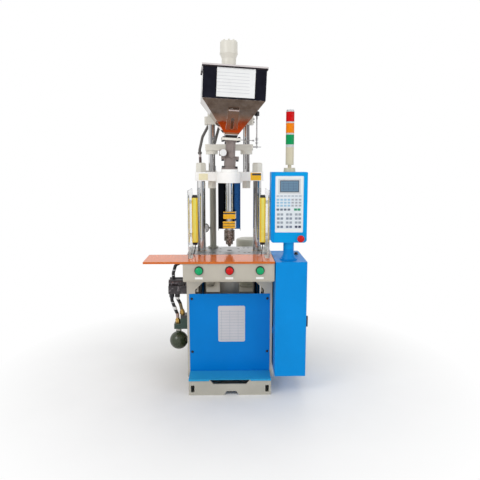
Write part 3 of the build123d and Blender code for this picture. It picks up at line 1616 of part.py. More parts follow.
with BuildPart() as control_panel:
    with BuildSketch(front_plane(ctl_front + recess_t)):
        with Locations((screen_x, (screen_z0 + screen_z1) / 2)):
            RectangleRounded(screen_w, screen_z1 - screen_z0, 5)
    extrude(amount=1.2)
    with BuildSketch(front_plane(ctl_front + recess_t - 1.2)):
        with Locations((screen_x, lcd_z)):
            RectangleRounded(108, 72, 3)
            Rectangle(86, 49, mode=Mode.SUBTRACT)
        for z in key_rows:
            with Locations((key_x0 + 3 * key_pitch, z)):
                with GridLocations(key_pitch, 1, 7, 1):
                    RectangleRounded(key_w, key_h, 1.5)
        with Locations((key_x0 + 3 * key_pitch, strip_z)):
            with GridLocations(key_pitch, 1, 7, 1):
                Rectangle(key_w, 3.5)
        with Locations((key_x0 + 1.5 * key_pitch, function_z)):
            with GridLocations(key_pitch, 1, 4, 1):
                RectangleRounded(key_w, key_h + 1, 1.5)
        with Locations((screen_x + 31, function_z), (screen_x + 48, function_z)):
            RectangleRounded(15, key_h + 2, 1.5)
        for z in pair_rows:
            for x in pair_x:
                with Locations((x, z)):
                    RectangleRounded(key_w, key_h + 2, 1.5)
    extrude(amount=0.8)
save(control_panel, "control_panel")

with BuildPart() as button_bezels:
    for x in button_x:
        with BuildSketch(front_plane(box_front)):
            with Locations((x, button_z)):
                Circle(bezel_r)
                Circle(stem_r + seat_gap, mode=Mode.SUBTRACT)
        extrude(amount=bezel_t, taper=10)
        with BuildSketch(front_plane(box_front)):
            with Locations((x, button_z)):
                Circle(button_hole_r)
                Circle(stem_r + seat_gap, mode=Mode.SUBTRACT)
        extrude(amount=-30)
    with BuildSketch(front_plane(ctl_front)):
        with Locations((estop_x, estop_z)):
            Circle(estop_stem + 3)
    extrude(amount=-face_t)
    with BuildSketch(front_plane(ctl_front)):
        with Locations((estop_x, estop_z)):
            Circle(estop_r - 1)
    extrude(amount=3)
    with BuildSketch(front_plane(ctl_front - 3)):
        with Locations((estop_x, estop_z)):
            Circle(estop_stem + seat_gap)
    extrude(amount=-3 - face_t, mode=Mode.SUBTRACT)
save(button_bezels, "button_bezels")

save(mushroom(estop_x, estop_z, ctl_front - 3, estop_r, button_travel, estop_stem, 14), "emergency_stop")

lens_z = (ctl_top + 133, ctl_top + 188, ctl_top + 242)
lens_h = 46.5
body_z0 = ctl_top + 34

with BuildPart() as signal_light:
    with BuildSketch(level(ctl_top)):
        with Locations((light_x, light_y)):
            Circle(30)
    extrude(amount=20, taper=8)
    with BuildSketch(level(ctl_top + 10)):
        with Locations((light_x, light_y)):
            Circle(9)
    extrude(amount=body_z0 - ctl_top - 10)
    with BuildSketch(level(body_z0)):
        with Locations((light_x, light_y)):
            Circle(light_r)
    extrude(amount=lens_z[0] - body_z0)
    for z0, z1 in ((lens_z[0] + lens_h, lens_z[1]), (lens_z[1] + lens_h, lens_z[2])):
        with BuildSketch(level(z0)):
            with Locations((light_x, light_y)):
                Circle(light_r)
        extrude(amount=z1 - z0)
    with BuildSketch(level(lens_z[2] + lens_h)):
        with Locations((light_x, light_y)):
            Circle(light_r)
    extrude(amount=10, taper=12)
save(signal_light, "signal_light")

with BuildPart() as light_lenses:
    for z in lens_z:
        with BuildSketch(level(z)):
            with Locations((light_x, light_y)):
                Circle(light_r + 0.5)
        extrude(amount=lens_h)
save(light_lenses, "light_lenses")
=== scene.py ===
"""Materials, light and camera for the desktop injection moulding machine."""

import math

import bpy
import bmesh
from mathutils import Matrix, Vector


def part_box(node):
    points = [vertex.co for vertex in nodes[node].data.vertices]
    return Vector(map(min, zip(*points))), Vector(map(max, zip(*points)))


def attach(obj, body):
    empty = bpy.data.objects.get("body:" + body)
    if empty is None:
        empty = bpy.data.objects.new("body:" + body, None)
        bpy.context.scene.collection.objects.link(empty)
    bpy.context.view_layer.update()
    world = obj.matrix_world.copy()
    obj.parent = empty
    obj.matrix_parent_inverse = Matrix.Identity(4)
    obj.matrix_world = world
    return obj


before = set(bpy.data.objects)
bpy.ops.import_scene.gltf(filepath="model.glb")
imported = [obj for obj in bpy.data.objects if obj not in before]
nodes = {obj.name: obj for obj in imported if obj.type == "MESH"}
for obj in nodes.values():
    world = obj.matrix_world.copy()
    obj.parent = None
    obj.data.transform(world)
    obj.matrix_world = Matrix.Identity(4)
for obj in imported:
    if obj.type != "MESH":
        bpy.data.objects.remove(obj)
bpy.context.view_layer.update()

MM = 0.001
FAR = 3000.0              # millimetres, beyond the machine on every side
ALL = (-FAR, FAR)
X, Y, Z = range(3)


def low(name):
    """The lowest corner of a piece of the frame at rest, in millimetres."""
    return [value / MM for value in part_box(name)[0]]


def high(name):
    """The highest corner of a piece of the frame at rest, in millimetres."""
    return [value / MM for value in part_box(name)[1]]


def over(name, start, stop):
    """A range of heights, given in millimetres above the foot of a piece of the frame."""
    foot = low(name)[Z]
    return foot + start, foot + stop


def rgb(red, green, blue):
    """Linear colour of an 8-bit screen colour."""
    linear = []
    for value in (red, green, blue):
        value = value / 255
        linear.append(value / 12.92 if value <= 0.04045 else ((value + 0.055) / 1.055) ** 2.4)
    return tuple(linear)


# Colours that several materials share

CREAM = rgb(229, 226, 215)
STEEL = rgb(176, 176, 178)
DARK_STEEL = rgb(58, 58, 62)
CHROME = rgb(186, 180, 180)
BRASS = rgb(196, 160, 92)
BLACK = rgb(24, 24, 26)
WHITE = rgb(236, 237, 237)
LIGHT_GREY = rgb(196, 200, 204)
GREY = rgb(126, 130, 134)

# How every finish varies over its surface

PATCH_SCALE = 5.0
PATCH_SHARE = 0.6         # of the tone, and the rest is the fine grain
TONE_RANGE = (0.3, 0.7)
TINT_LIFT = 0.5           # light patches stand out half as much as dark ones
EDGE_PATCH_SCALE = 60.0
EDGE_PATCH_RANGE = (0.42, 0.62)
SMUDGE_SCALE = 9.0
SMUDGE_RANGE = (0.35, 0.7)
COAT_ROUGH = 0.08
PLASTIC_IOR = 1.45
BUMP_STRENGTH = 0.5
NOISE_MEAN = 0.5
EDGE_RADIUS = 0.0012      # metres
EDGE_SAMPLES = 4
EDGE_TURN = (0.995, 0.86)  # cosines between which a rounded edge fades in

# Sockets of the mix node that have no name of their own

NUMBER_A, NUMBER_B = 2, 3
COLOUR_A, COLOUR_B = 6, 7
COLOUR_OUT = 2


class Tree:
    """A node tree with short ways to add nodes and to join them."""

    def __init__(self, tree):
        self.tree = tree

    def add(self, kind, **settings):
        node = self.tree.nodes.new(kind)
        for key, value in settings.items():
            setattr(node, key, value)
        return node

    def feed(self, socket, value):
        """Links an output to a socket, or sets the socket to a number or colour."""
        if isinstance(value, bpy.types.NodeSocket):
            self.tree.links.new(value, socket)
        elif hasattr(socket.default_value, "__len__") and len(socket.default_value) == 4:
            socket.default_value = (*value, 1.0)
        else:
            socket.default_value = value

    def calc(self, operation, first, second=0.0, clamp=False):
        node = self.add("ShaderNodeMath", operation=operation, use_clamp=clamp)
        for socket, value in zip(node.inputs, (first, second)):
            self.feed(socket, value)
        return node.outputs[0]

    def plus(self, first, second, clamp=False):
        return self.calc("ADD", first, second, clamp)

    def minus(self, first, second):
        return self.calc("SUBTRACT", first, second)

    def times(self, first, second, clamp=False):
        return self.calc("MULTIPLY", first, second, clamp)

    def above(self, value, limit):
        """1 where a value is over its limit."""
        return self.calc("GREATER_THAN", value, limit)

    def below(self, value, limit):
        """1 where a value is under its limit."""
        return self.calc("LESS_THAN", value, limit)

    def either(self, first, second):
        """The larger of two values."""
        return self.calc("MAXIMUM", first, second)

    def length(self, first, second):
        """The long side of a right-angled triangle."""
        squares = [self.calc("POWER", side, 2.0) for side in (first, second)]
        return self.calc("SQRT", self.plus(*squares))

    def stripes(self, value, pitch, share):
        """1 on the first share of every pitch along a value."""
        return self.below(self.calc("FRACT", self.calc("DIVIDE", value, pitch)), share)

    def ramp(self, value, start, stop, out_start=0.0, out_stop=1.0):
        """Goes from one number to another while a value goes from start to stop."""
        node = self.add("ShaderNodeMapRange", clamp=True)
        for socket, number in zip(node.inputs, (value, start, stop, out_start, out_stop)):
            self.feed(socket, number)
        return node.outputs[0]

    def seen(self):
        """1 for rays that show a thing directly, in a mirror or through a clear sheet."""
        path = self.add("ShaderNodeLightPath").outputs
        direct = self.either(path["Is Camera Ray"], path["Is Glossy Ray"])
        return self.either(direct, path["Is Transmission Ray"])


class Surface(Tree):
    """A material whose one shader is fed by layers of colour and roughness."""

    def __init__(self, name):
        self.material = bpy.data.materials.new(name)
        self.material.use_nodes = True
        super().__init__(self.material.node_tree)
        self.shader = self.tree.nodes["Principled BSDF"]
        self.place = self.add("ShaderNodeTexCoord").outputs["Object"]

    def vector(self, operation, first, second=(0, 0, 0)):
        node = self.add("ShaderNodeVectorMath", operation=operation)
        self.feed(node.inputs[0], first)
        self.feed(node.inputs[1], second)
        return node.outputs["Value" if operation in ("DOT_PRODUCT", "LENGTH") else "Vector"]

    def split(self, value=None):
        """The x, y and z of a vector, or of the place on the piece."""
        node = self.add("ShaderNodeSeparateXYZ")
        self.feed(node.inputs[0], self.place if value is None else value)
        return node.outputs

    def noise(self, scale, detail=2.0, stretch=(1, 1, 1), rough=0.5):
        node = self.add("ShaderNodeTexNoise")
        self.feed(node.inputs["Vector"], self.vector("MULTIPLY", self.place, stretch))
        node.inputs["Scale"].default_value = scale
        node.inputs["Detail"].default_value = detail
        node.inputs["Roughness"].default_value = rough
        return node.outputs[0]

    def patches(self, scale, start, stop, **settings):
        """0 to 1 while a noise rises from start to stop."""
        return self.ramp(self.noise(scale, **settings), start, stop)

    def mix(self, factor, first, second, blend_type="MIX"):
        node = self.add("ShaderNodeMix", data_type="RGBA", blend_type=blend_type)
        self.feed(node.inputs[0], factor)
        self.feed(node.inputs[COLOUR_A], first)
        self.feed(node.inputs[COLOUR_B], second)
        return node.outputs[COLOUR_OUT]

    def blend(self, factor, first, second):
        node = self.add("ShaderNodeMix", data_type="FLOAT")
        self.feed(node.inputs[0], factor)
        self.feed(node.inputs[NUMBER_A], first)
        self.feed(node.inputs[NUMBER_B], second)
        return node.outputs[0]

    def stain(self, colour, where, other, strength):
        """A colour with another over part of it."""
        return self.mix(self.times(where, strength), colour, other)

    def inside(self, x=ALL, y=ALL, z=ALL):
        """1 where the surface lies in this box of the machine's frame, given in millimetres."""
        centre = [(start + stop) / 2 * MM for start, stop in (x, y, z)]
        half = [(stop - start) / 2 * MM for start, stop in (x, y, z)]
        offset = self.vector("ABSOLUTE", self.vector("SUBTRACT", self.place, centre))
        out_x, out_y, out_z = self.split(self.vector("SUBTRACT", offset, half))
        return self.below(self.either(self.either(out_x, out_y), out_z), 0.0)

    def grid(self, rows, columns):
        """1 on level and upright rules. Each pair is a pitch in millimetres and the rule's share."""
        part = self.split()
        level = self.stripes(part[Z], rows[0] * MM, rows[1])
        upright = self.stripes(part[X], columns[0] * MM, columns[1])
        return self.either(level, upright)

    def edges(self, radius):
        """(rounded normal, 1 near the sharp edges)."""
        soft = self.add("ShaderNodeBevel", samples=EDGE_SAMPLES)
        soft.inputs["Radius"].default_value = radius
        straight = self.add("ShaderNodeNewGeometry").outputs["Normal"]
        turn = self.vector("DOT_PRODUCT", soft.outputs[0], straight)
        return soft.outputs[0], self.ramp(turn, *EDGE_TURN)

    def bump(self, height, depth, normal):
        node = self.add("ShaderNodeBump")
        node.inputs["Strength"].default_value = BUMP_STRENGTH
        node.inputs["Distance"].default_value = depth
        self.feed(node.inputs["Height"], height)
        self.feed(node.inputs["Normal"], normal)
        return node.outputs[0]


# Grain of each kind of finish

GRAIN = {
    # noise scale, stretch, bump depth in metres, spread of the roughness
    "paint": (420.0, (1, 1, 1), 0.00006, 0.10),
    "cast": (160.0, (1, 1, 1), 0.0003, 0.12),
    "plastic": (900.0, (1, 1, 1), 0.00003, 0.08),
    "smooth": (30.0, (1, 1, 1), 0.00002, 0.05),
    "ground": (260.0, (0.06, 1, 1), 0.00003, 0.16),
    "brushed": (300.0, (1, 1, 0.04), 0.00003, 0.14),
    "turned": (500.0, (0.05, 0.05, 1), 0.00002, 0.10),
    "rubber": (700.0, (1, 1, 0.6), 0.00012, 0.12),
}


def area(colour, rough, metal=0.0, **place):
    """A coloured area for surface(): all that lies in a box with sides x, y and z."""
    return place, colour, rough, metal


def surface(name, colour, rough, metal=0.0, coat=0.0, grain="paint", wear_and_sheen=None, areas=(), tint=0.10,
            extra=None, clear=0.0, radius=EDGE_RADIUS, gloss=0.5):
    """A finished material: patches of tone, a grain with its bump, rubbed edges, which also serve as a
    painted highlight, and coloured areas.

    areas is a list made with area(), later ones on top. extra(s, colour, rough) adds a pattern
    and returns the new colour and roughness. The edge colour is that of the rubbed edges; on the hopper
    it is a painted highlight along the folds.
    """
    s = Surface(name)
    scale, stretch, depth, spread = GRAIN[grain]
    metal_out = metal
    rough_out = rough
    for place, area_colour, area_rough, area_metal in areas:
        here = s.inside(**place)
        colour = s.mix(here, colour, area_colour)
        rough_out = s.blend(here, rough_out, area_rough)
        if area_metal != metal or isinstance(metal_out, bpy.types.NodeSocket):
            metal_out = s.blend(here, metal_out, area_metal)
    if extra is not None:
        colour, rough_out = extra(s, colour, rough_out)
    broad = s.noise(PATCH_SCALE, detail=4.0, rough=0.6)
    fine = s.noise(scale, detail=3.0, stretch=stretch, rough=0.6)
    relief = s.plus(s.times(broad, PATCH_SHARE), s.times(fine, 1 - PATCH_SHARE))
    tone = s.ramp(relief, *TONE_RANGE, 1.0 - tint, 1.0 + tint * TINT_LIFT)
    grey = s.add("ShaderNodeCombineColor")
    for socket in grey.inputs:
        s.feed(socket, tone)
    colour = s.mix(1.0, colour, grey.outputs[0], "MULTIPLY")
    rounded, edge = s.edges(radius)
    # Rubbed edges in the edge colour; on the hopper this is a painted highlight
    if wear_and_sheen is not None:
        rubbed_and_sheen = s.times(edge, s.patches(EDGE_PATCH_SCALE, *EDGE_PATCH_RANGE, detail=4.0), clamp=True)
        colour = s.mix(rubbed_and_sheen, colour, wear_and_sheen)
    smudge = s.ramp(s.noise(SMUDGE_SCALE, detail=5.0, rough=0.65), *SMUDGE_RANGE, -spread / 2, spread)
    fine_rough = s.times(s.minus(fine, NOISE_MEAN), spread)
    rough_out = s.plus(s.plus(rough_out, smudge), fine_rough, clamp=True)
    s.feed(s.shader.inputs["Base Color"], colour)
    s.feed(s.shader.inputs["Roughness"], rough_out)
    s.feed(s.shader.inputs["Metallic"], metal_out)
    s.shader.inputs["Specular IOR Level"].default_value = gloss
    s.shader.inputs["Coat Weight"].default_value = coat
    s.shader.inputs["Coat Roughness"].default_value = COAT_ROUGH
    if clear:
        s.shader.inputs["Transmission Weight"].default_value = clear
        s.shader.inputs["IOR"].default_value = PLASTIC_IOR
    s.feed(s.shader.inputs["Normal"], s.bump(fine, depth, rounded))
    return s.material


def dress(material, *names):
    """Puts a material on pieces of the frame."""
    for name in names:
        for holder in nodes[name].material_slots:
            holder.material = material


def rules(rows, columns, ink, **field):
    """An extra for surface(): a grid of plain rules in one field, in place of lettering."""
    def extra(s, colour, rough):
        return s.mix(s.times(s.grid(rows, columns), s.inside(**field)), colour, ink), rough
    return extra


# Painted frame: the ledge of the front cover is a lighter blue, painted light where it faces up, and the
# controller is a lighter blue

LEDGE_DEPTH = 106.0
LIT_LEDGE = dict(y=(-FAR, low("front_cover")[Y] + LEDGE_DEPTH))
CONTROLLER = dict(x=(220, FAR), y=(-FAR, -170), z=(740, FAR))

dress(surface("beige paint", rgb(188, 182, 169), 0.42, coat=0.1, wear_and_sheen=rgb(238, 233, 218)),
      "side_plates", "cross_frames", "oil_tank", "rear_cover", "button_box")
# Painted shade: the base is the frame's beige made darker and greyer, as it lies below the light from
# above
dress(surface("base paint with painted shade", rgb(180, 177, 166), 0.48, coat=0.05, wear_and_sheen=rgb(222, 218, 206), tint=0.16),
      "base_frame")
dress(surface("white bracket paint", rgb(222, 221, 216), 0.4, coat=0.1, wear_and_sheen=rgb(240, 240, 238)),
      "guard_brackets")
dress(surface("white platen paint", rgb(254, 253, 250), 0.32, coat=0.2, wear_and_sheen=rgb(252, 252, 250)),
      "upper_platen")
dress(surface("cream paint", CREAM, 0.34, coat=0.1, wear_and_sheen=rgb(244, 242, 234)),
      "clamp_cylinder", "crosshead", "top_beam", "injection_beam", "injection_cylinder", "bar_nuts")
dress(surface("azure paint", rgb(4, 140, 218), 0.34, wear_and_sheen=rgb(90, 180, 232), gloss=0.1,
              areas=[area(rgb(2, 156, 226), 0.34, **CONTROLLER)]),
      "cabinet_shell", "cabinet_door", "pedestal", "controller_case")
# The ledge's lighter blue is painted light: the same sheet as the cover, lit from above where it faces up
dress(surface("blue cover paint", rgb(0, 124, 206), 0.34, wear_and_sheen=rgb(90, 170, 222), gloss=0.1,
              areas=[area(rgb(44, 156, 208), 0.36, **LIT_LEDGE)]),
      "front_cover")

# Lower platen, with tapped holes mirrored over both of its middle lines

MOULD_HOLES = ((51.0, 55.0), (82.0, 78.0), (105.0, 78.0), (0.0, 0.0))
HOLE_RIM = 7.5
RIM_FADE = 1.5
RIM_SHADE_AND_OIL = rgb(58, 54, 52)
OVER_PLATEN = high("lower_platen")[Z] + 1.0


def mould_holes(s, colour, rough):
    """Dark rims round the platen's tapped holes, partly oiled steel and partly painted shade of their
    countersinks, and none on the slide gate.
    """
    x_side, y_side, z = s.split()
    across = s.calc("ABSOLUTE", x_side)
    along = s.calc("ABSOLUTE", y_side)
    platen = s.below(z, OVER_PLATEN * MM)
    for hole_x, hole_y in MOULD_HOLES:
        off = s.length(s.minus(across, hole_x * MM), s.minus(along, hole_y * MM))
        rim = s.ramp(off, HOLE_RIM * MM, (HOLE_RIM + RIM_FADE) * MM, 1.0, 0.0)
        colour = s.mix(s.times(rim, platen), colour, RIM_SHADE_AND_OIL)
    return colour, rough


dress(surface("ground steel", rgb(164, 164, 164), 0.34, 1.0, grain="ground", wear_and_sheen=rgb(210, 212, 214),
              extra=mould_holes),
      "lower_platen", "slide_gate")

# Bars, rods and cylinders

STREAK_SCALE = 55.0
STREAK_STRETCH = (1, 1, 0.02)
STREAK_RANGE = (0.40, 0.57)
REFLECTION_DARK = 0.78
REFLECTION_LIGHT = 0.8
NUTS = dict(z=(high("guide_rods")[Z] - 10.0, FAR))
CYLINDER_CAP = dict(z=(high("injection_cylinder")[Z] - 40.0, FAR))
ROD_KNOB = dict(z=(high("stroke_rod")[Z] - 41.5, FAR))
SCREW_WEAR = rgb(140, 140, 144)


def streaks(s, colour, rough):
    """Painted reflections: upright light and dark bands, as round polished metal shows."""
    reflection_band = s.patches(STREAK_SCALE, *STREAK_RANGE, stretch=STREAK_STRETCH, rough=0.7)
    return s.mix(reflection_band, s.mix(REFLECTION_DARK, colour, BLACK), s.mix(REFLECTION_LIGHT, colour, WHITE)), rough


def rod_tone(s, colour, rough):
    """Chrome with painted reflection bands up to the painted nuts."""
    return s.mix(s.inside(**NUTS), streaks(s, colour, rough)[0], colour), rough


# Chrome, with painted reflection bands
dress(surface("hard chrome", CHROME, 0.09, 1.0, grain="turned", tint=0.05, extra=streaks),
      "tie_bars", "injection_ram")
dress(surface("guide rods and their nuts", CHROME, 0.10, 1.0, grain="turned", tint=0.05, extra=rod_tone,
              areas=[area(CREAM, 0.36, **NUTS)]),
      "guide_rods")
dress(surface("stroke rod with a knob", STEEL, 0.25, 1.0, grain="turned",
              areas=[area(BLACK, 0.35, **ROD_KNOB)]),
      "stroke_rod")
dress(surface("bearing bronze", rgb(176, 136, 84), 0.34, 1.0, grain="turned", wear_and_sheen=rgb(214, 180, 124)),
      "tie_bar_bushes")
dress(surface("blackened steel", DARK_STEEL, 0.40, 0.9, grain="cast", wear_and_sheen=SCREW_WEAR),
      "door_latch", "cover_screws")
dress(surface("cap screws", DARK_STEEL, 0.40, 0.9, grain="cast", wear_and_sheen=SCREW_WEAR,
              areas=[area(CREAM, 0.36, **CYLINDER_CAP)]),
      "cap_screws")

# Barrel, nozzle and their guard, which is blue on its right half and painted near-black on its left half
# as shade

SPECK_PALE = rgb(222, 214, 208)
SPECK_BURNT = rgb(48, 40, 36)
BURNT_ROUGH = 0.6


def scorched(s, colour, rough):
    """Pale and dark specks of burnt plastic on hot steel."""
    pale = s.patches(scale=210.0, start=0.54, stop=0.60, rough=0.6)
    burnt = s.patches(scale=120.0, start=0.56, stop=0.62, rough=0.6)
    colour = s.stain(colour, pale, SPECK_PALE, strength=0.75)
    return s.stain(colour, burnt, SPECK_BURNT, strength=0.7), s.blend(burnt, rough, BURNT_ROUGH)


dress(surface("turned steel", STEEL, 0.28, 1.0, grain="turned", wear_and_sheen=rgb(214, 214, 216)),
      "barrel", "plunger")
dress(surface("heat-worn steel", rgb(116, 106, 98), 0.40, 1.0, grain="turned", wear_and_sheen=rgb(206, 198, 190),
              tint=0.2, extra=scorched),
      "nozzle")
# The polished sleeve and heater bands carry painted reflection bands
dress(surface("heater bands and polished sleeve", STEEL, 0.12, 1.0, grain="turned",
              wear_and_sheen=rgb(220, 220, 222), extra=streaks),
      "barrel_jackets")
# Painted shade: the blue guard's left half is near-black where it lies in shade
dress(surface("barrel guard sheet", rgb(16, 18, 24), 0.16, 1.0, grain="brushed", wear_and_sheen=rgb(90, 96, 110),
              areas=[area(rgb(8, 84, 150), 0.20, 0.6, x=(0, FAR))]),
      "barrel_guard")

# The leaning stack of hopper, gate and feed throat: its axis, and heights along that axis

STACK_LEAN = math.radians(2.6)
STACK_X = 2.0
STACK_Z = low("feed_tube")[Z]
NECK_FOOT = 158.2
NECK_BAND = 172.0
CONE_FOOT = 176.0
CONE_TOP = 331.0
LID_FOLD = 480.5


def stack_height(s):
    """Millimetres above the foot of the leaning stack, along its axis."""
    x, _, z = s.split()
    across = s.times(s.minus(x, STACK_X * MM), math.sin(STACK_LEAN) / MM)
    upward = s.times(s.minus(z, STACK_Z * MM), math.cos(STACK_LEAN) / MM)
    return s.plus(across, upward)


# Hopper: the sight plate and its grip are told from the wall by how far they stand off it

REFLECTION_TOP = CONE_TOP - 60.0
REFLECTION_FOOT = CONE_FOOT + 20.0
CONE_DARK = rgb(104, 88, 76)
CONE_PALE = rgb(128, 112, 100)
CONE_TABLE_REFLECTION = rgb(214, 156, 120)
WALL_DARK = rgb(27, 27, 35)
WALL_PALE = rgb(42, 43, 54)
WALL_MOTTLE = 0.5
WALL_POINT = Vector((17.8, -212.7, 1375.7))
WALL_NORMAL = Vector((0.035, -0.744, -0.667))
SIGHT_PROUD = 1.5
SIGHT_BROWN = rgb(142, 118, 98)
SIGHT_SHARE = 0.55
SIGHT_ROUGH = 0.2
GRIP_PROUD = 4.0
GRIP_PALE = rgb(214, 200, 194)
LIP_PAINTED_SHADOW = rgb(44, 38, 42)


def hopper_tone(s, colour, rough):
    """A near-black mirror box over a brown one, which is lighter and warmer at its foot as a painted
    reflection of the orange table.
    """
    height = stack_height(s)
    mottle = s.patches(scale=26.0, start=0.35, stop=0.65, detail=5.0, rough=0.7)
    cone = s.mix(mottle, CONE_DARK, CONE_PALE)
    # Painted reflection: the orange table shown on the cone's foot
    cone = s.mix(s.ramp(height, REFLECTION_TOP, REFLECTION_FOOT), cone, CONE_TABLE_REFLECTION)
    from_wall = s.vector("SUBTRACT", s.place, tuple(WALL_POINT * MM))
    proud = s.vector("DOT_PRODUCT", from_wall, tuple(WALL_NORMAL))
    grip = s.above(proud, GRIP_PROUD * MM)
    plate = s.times(s.above(proud, SIGHT_PROUD * MM), s.below(height, CONE_TOP))
    cone = s.mix(plate, cone, s.mix(grip, s.mix(SIGHT_SHARE, cone, SIGHT_BROWN), GRIP_PALE))
    walls = s.mix(s.times(mottle, WALL_MOTTLE), WALL_DARK, WALL_PALE)
    return s.mix(s.above(height, CONE_TOP), cone, walls), s.blend(plate, rough, SIGHT_ROUGH)


def lid_tone(s, colour, rough):
    """Painted shadow: the lid's lip is dark below its bright folded edge."""
    return s.mix(s.below(stack_height(s), LID_FOLD), colour, LIP_PAINTED_SHADOW), rough


def gate_tone(s, colour, rough):
    """A black neck with a bright band on top stands on the gate plate."""
    height = stack_height(s)
    neck = s.mix(s.above(height, NECK_FOOT), colour, BLACK)
    return s.mix(s.above(height, NECK_BAND), neck, LIGHT_GREY), rough


# The hopper's bright rubbed edges are a painted highlight along its folded seams
dress(surface("polished stainless sheet", rgb(58, 52, 60), 0.07, 1.0, grain="brushed", tint=0.12,
              extra=hopper_tone, wear_and_sheen=rgb(214, 208, 204), radius=0.0022),
      "hopper")
# The lid's lip carries a painted shadow below its folded edge
dress(surface("polished lid", rgb(214, 207, 207), 0.26, 0.85, grain="brushed", tint=0.07,
              wear_and_sheen=rgb(120, 112, 112), extra=lid_tone),
      "hopper_lid")
dress(surface("sight window", rgb(72, 52, 38), 0.06, grain="smooth", tint=0.10, coat=1.0),
      "sight_glass")
dress(surface("gate plate and neck", CREAM, 0.34, coat=0.2, grain="cast", extra=gate_tone,
              wear_and_sheen=rgb(244, 242, 234)),
      "gate_frame")
dress(surface("grey cast feed throat", rgb(138, 126, 122), 0.42, 0.25, grain="cast",
              wear_and_sheen=rgb(196, 188, 190), tint=0.18),
      "feed_tube", "tube_knob")
dress(surface("white plug", WHITE, 0.34, coat=0.2, grain="plastic", wear_and_sheen=rgb(245, 245, 245)),
      "discharge_plug")

# Table and side guards

TABLE_EDGE = dict(y=(-FAR, low("table_plate")[Y] + 0.6))

dress(surface("orange sheet", rgb(238, 118, 42), 0.12, grain="smooth", tint=0.06,
              wear_and_sheen=rgb(250, 170, 90), gloss=0.2,
              areas=[area(rgb(206, 104, 36), 0.30, **TABLE_EDGE)]),
      "table_plate")
dress(surface("clear sheet", rgb(246, 249, 250), 0.04, grain="smooth", tint=0.02, clear=0.74),
      "side_guards")

# Light bars: black end caps and a brighter strip along each

LOWER_CAP_TOP = high("light_bars")[Z] - 249.0
UPPER_CAP_FOOT = high("light_bars")[Z] - 14.0
STRIP_Z = (LOWER_CAP_TOP + 2.0, UPPER_CAP_FOOT - 2.0)
STRIPS_X = ((-189, -174), (168, 183))

bar_areas = [area(BLACK, 0.42, z=(-FAR, LOWER_CAP_TOP)), area(BLACK, 0.42, z=(UPPER_CAP_FOOT, FAR))]
for strip_x in STRIPS_X:
    bar_areas.append(area(rgb(255, 244, 118), 0.30, x=strip_x, z=STRIP_Z))
dress(surface("yellow light bars", rgb(250, 214, 30), 0.38, coat=0.1, wear_and_sheen=rgb(248, 236, 150),
              areas=bar_areas),
      "light_bars")

# Signal light: a green, an orange and a red lens over a pale tube, with grey rings

GREEN_LENS = dict(z=over("light_lenses", -FAR, 49))
ORANGE_LENS = dict(z=over("light_lenses", 49, 105))
RINGS = dict(z=over("light_lenses", -13, FAR))

dress(surface("signal lenses", rgb(206, 6, 10), 0.18, grain="smooth", gloss=0.12,
              areas=[area(rgb(6, 150, 86), 0.18, **GREEN_LENS),
                     area(rgb(240, 132, 6), 0.18, **ORANGE_LENS)]),
      "light_lenses")
dress(surface("signal light housing", rgb(206, 198, 172), 0.34, coat=0.2, grain="plastic",
              areas=[area(LIGHT_GREY, 0.3, **RINGS)]),
      "signal_light")

# Push buttons: coloured heads on steel stems, with the emergency stop beside the button box

BOX_END_X = high("button_box")[X]
STEM_START = 18.5         # behind the front of the head
EMERGENCY_STEM_START = 17.1
STEMS = dict(x=(-FAR, BOX_END_X), y=(low("left_start_button")[Y] + STEM_START, FAR))
EMERGENCY_STEM = dict(x=(BOX_END_X, FAR), y=(low("emergency_stop")[Y] + EMERGENCY_STEM_START, FAR))
EMERGENCY_RING = dict(x=(BOX_END_X, FAR))


def button(name, colour, *names):
    """Dresses push buttons with one colour of head."""
    cap = surface(name, colour, 0.20, coat=0.15, grain="smooth", gloss=0.15,
                  areas=[area(STEEL, 0.3, 1.0, **STEMS), area(STEEL, 0.3, 1.0, **EMERGENCY_STEM)])
    dress(cap, *names)


button("green button", rgb(16, 168, 104), "left_start_button", "right_start_button")
button("red button", rgb(206, 14, 12), "stop_button", "emergency_stop")
dress(surface("button bezels", BLACK, 0.35, coat=0.2, grain="plastic", wear_and_sheen=rgb(90, 90, 92),
              areas=[area(rgb(210, 190, 60), 0.4, **EMERGENCY_RING)]),
      "button_bezels")

# Bare plates on the frame: a ruled one on the cover, and bright ones under the buttons

plate_rules = rules(rows=(15.0, 0.09), columns=(43.0, 0.03), ink=rgb(150, 160, 172),
                    x=(-52, 72), y=(-300, -200), z=over("bare_plates", 7, 169))
BUTTON_PLATES = dict(z=(high("bare_plates")[Z] - 49.0, FAR))

dress(surface("bare plates", rgb(196, 194, 198), 0.32, coat=0.2, grain="plastic", extra=plate_rules,
              areas=[area(rgb(244, 244, 242), 0.3, **BUTTON_PLATES)], wear_and_sheen=rgb(240, 240, 240)),
      "bare_plates")

# Bare plates on the clamp: amber ones with dark bars, a pale yellow one and the hopper's white one

PLATES = "clamp_plates"
AMBER_BARS = (
    dict(z=over(PLATES, 78, 86)), dict(z=over(PLATES, 26, 29)), dict(z=over(PLATES, 11, 14)),
    dict(x=(121, 171), z=over(PLATES, 287, 298)),
)
YELLOW_PLATE = dict(x=(-FAR, -100), z=over(PLATES, 228, 318))
HOPPER_PLATE = dict(z=over(PLATES, 588, FAR))
LABEL_FIELD = dict(x=(-58, 98), z=over(PLATES, 638, FAR))
LABEL_PITCH = 15.0
LABEL_RULE = 0.12         # share of the pitch
LABEL_LOW = 350.0
LABEL_HIGH = 462.0
LABEL_INK = rgb(196, 196, 202)


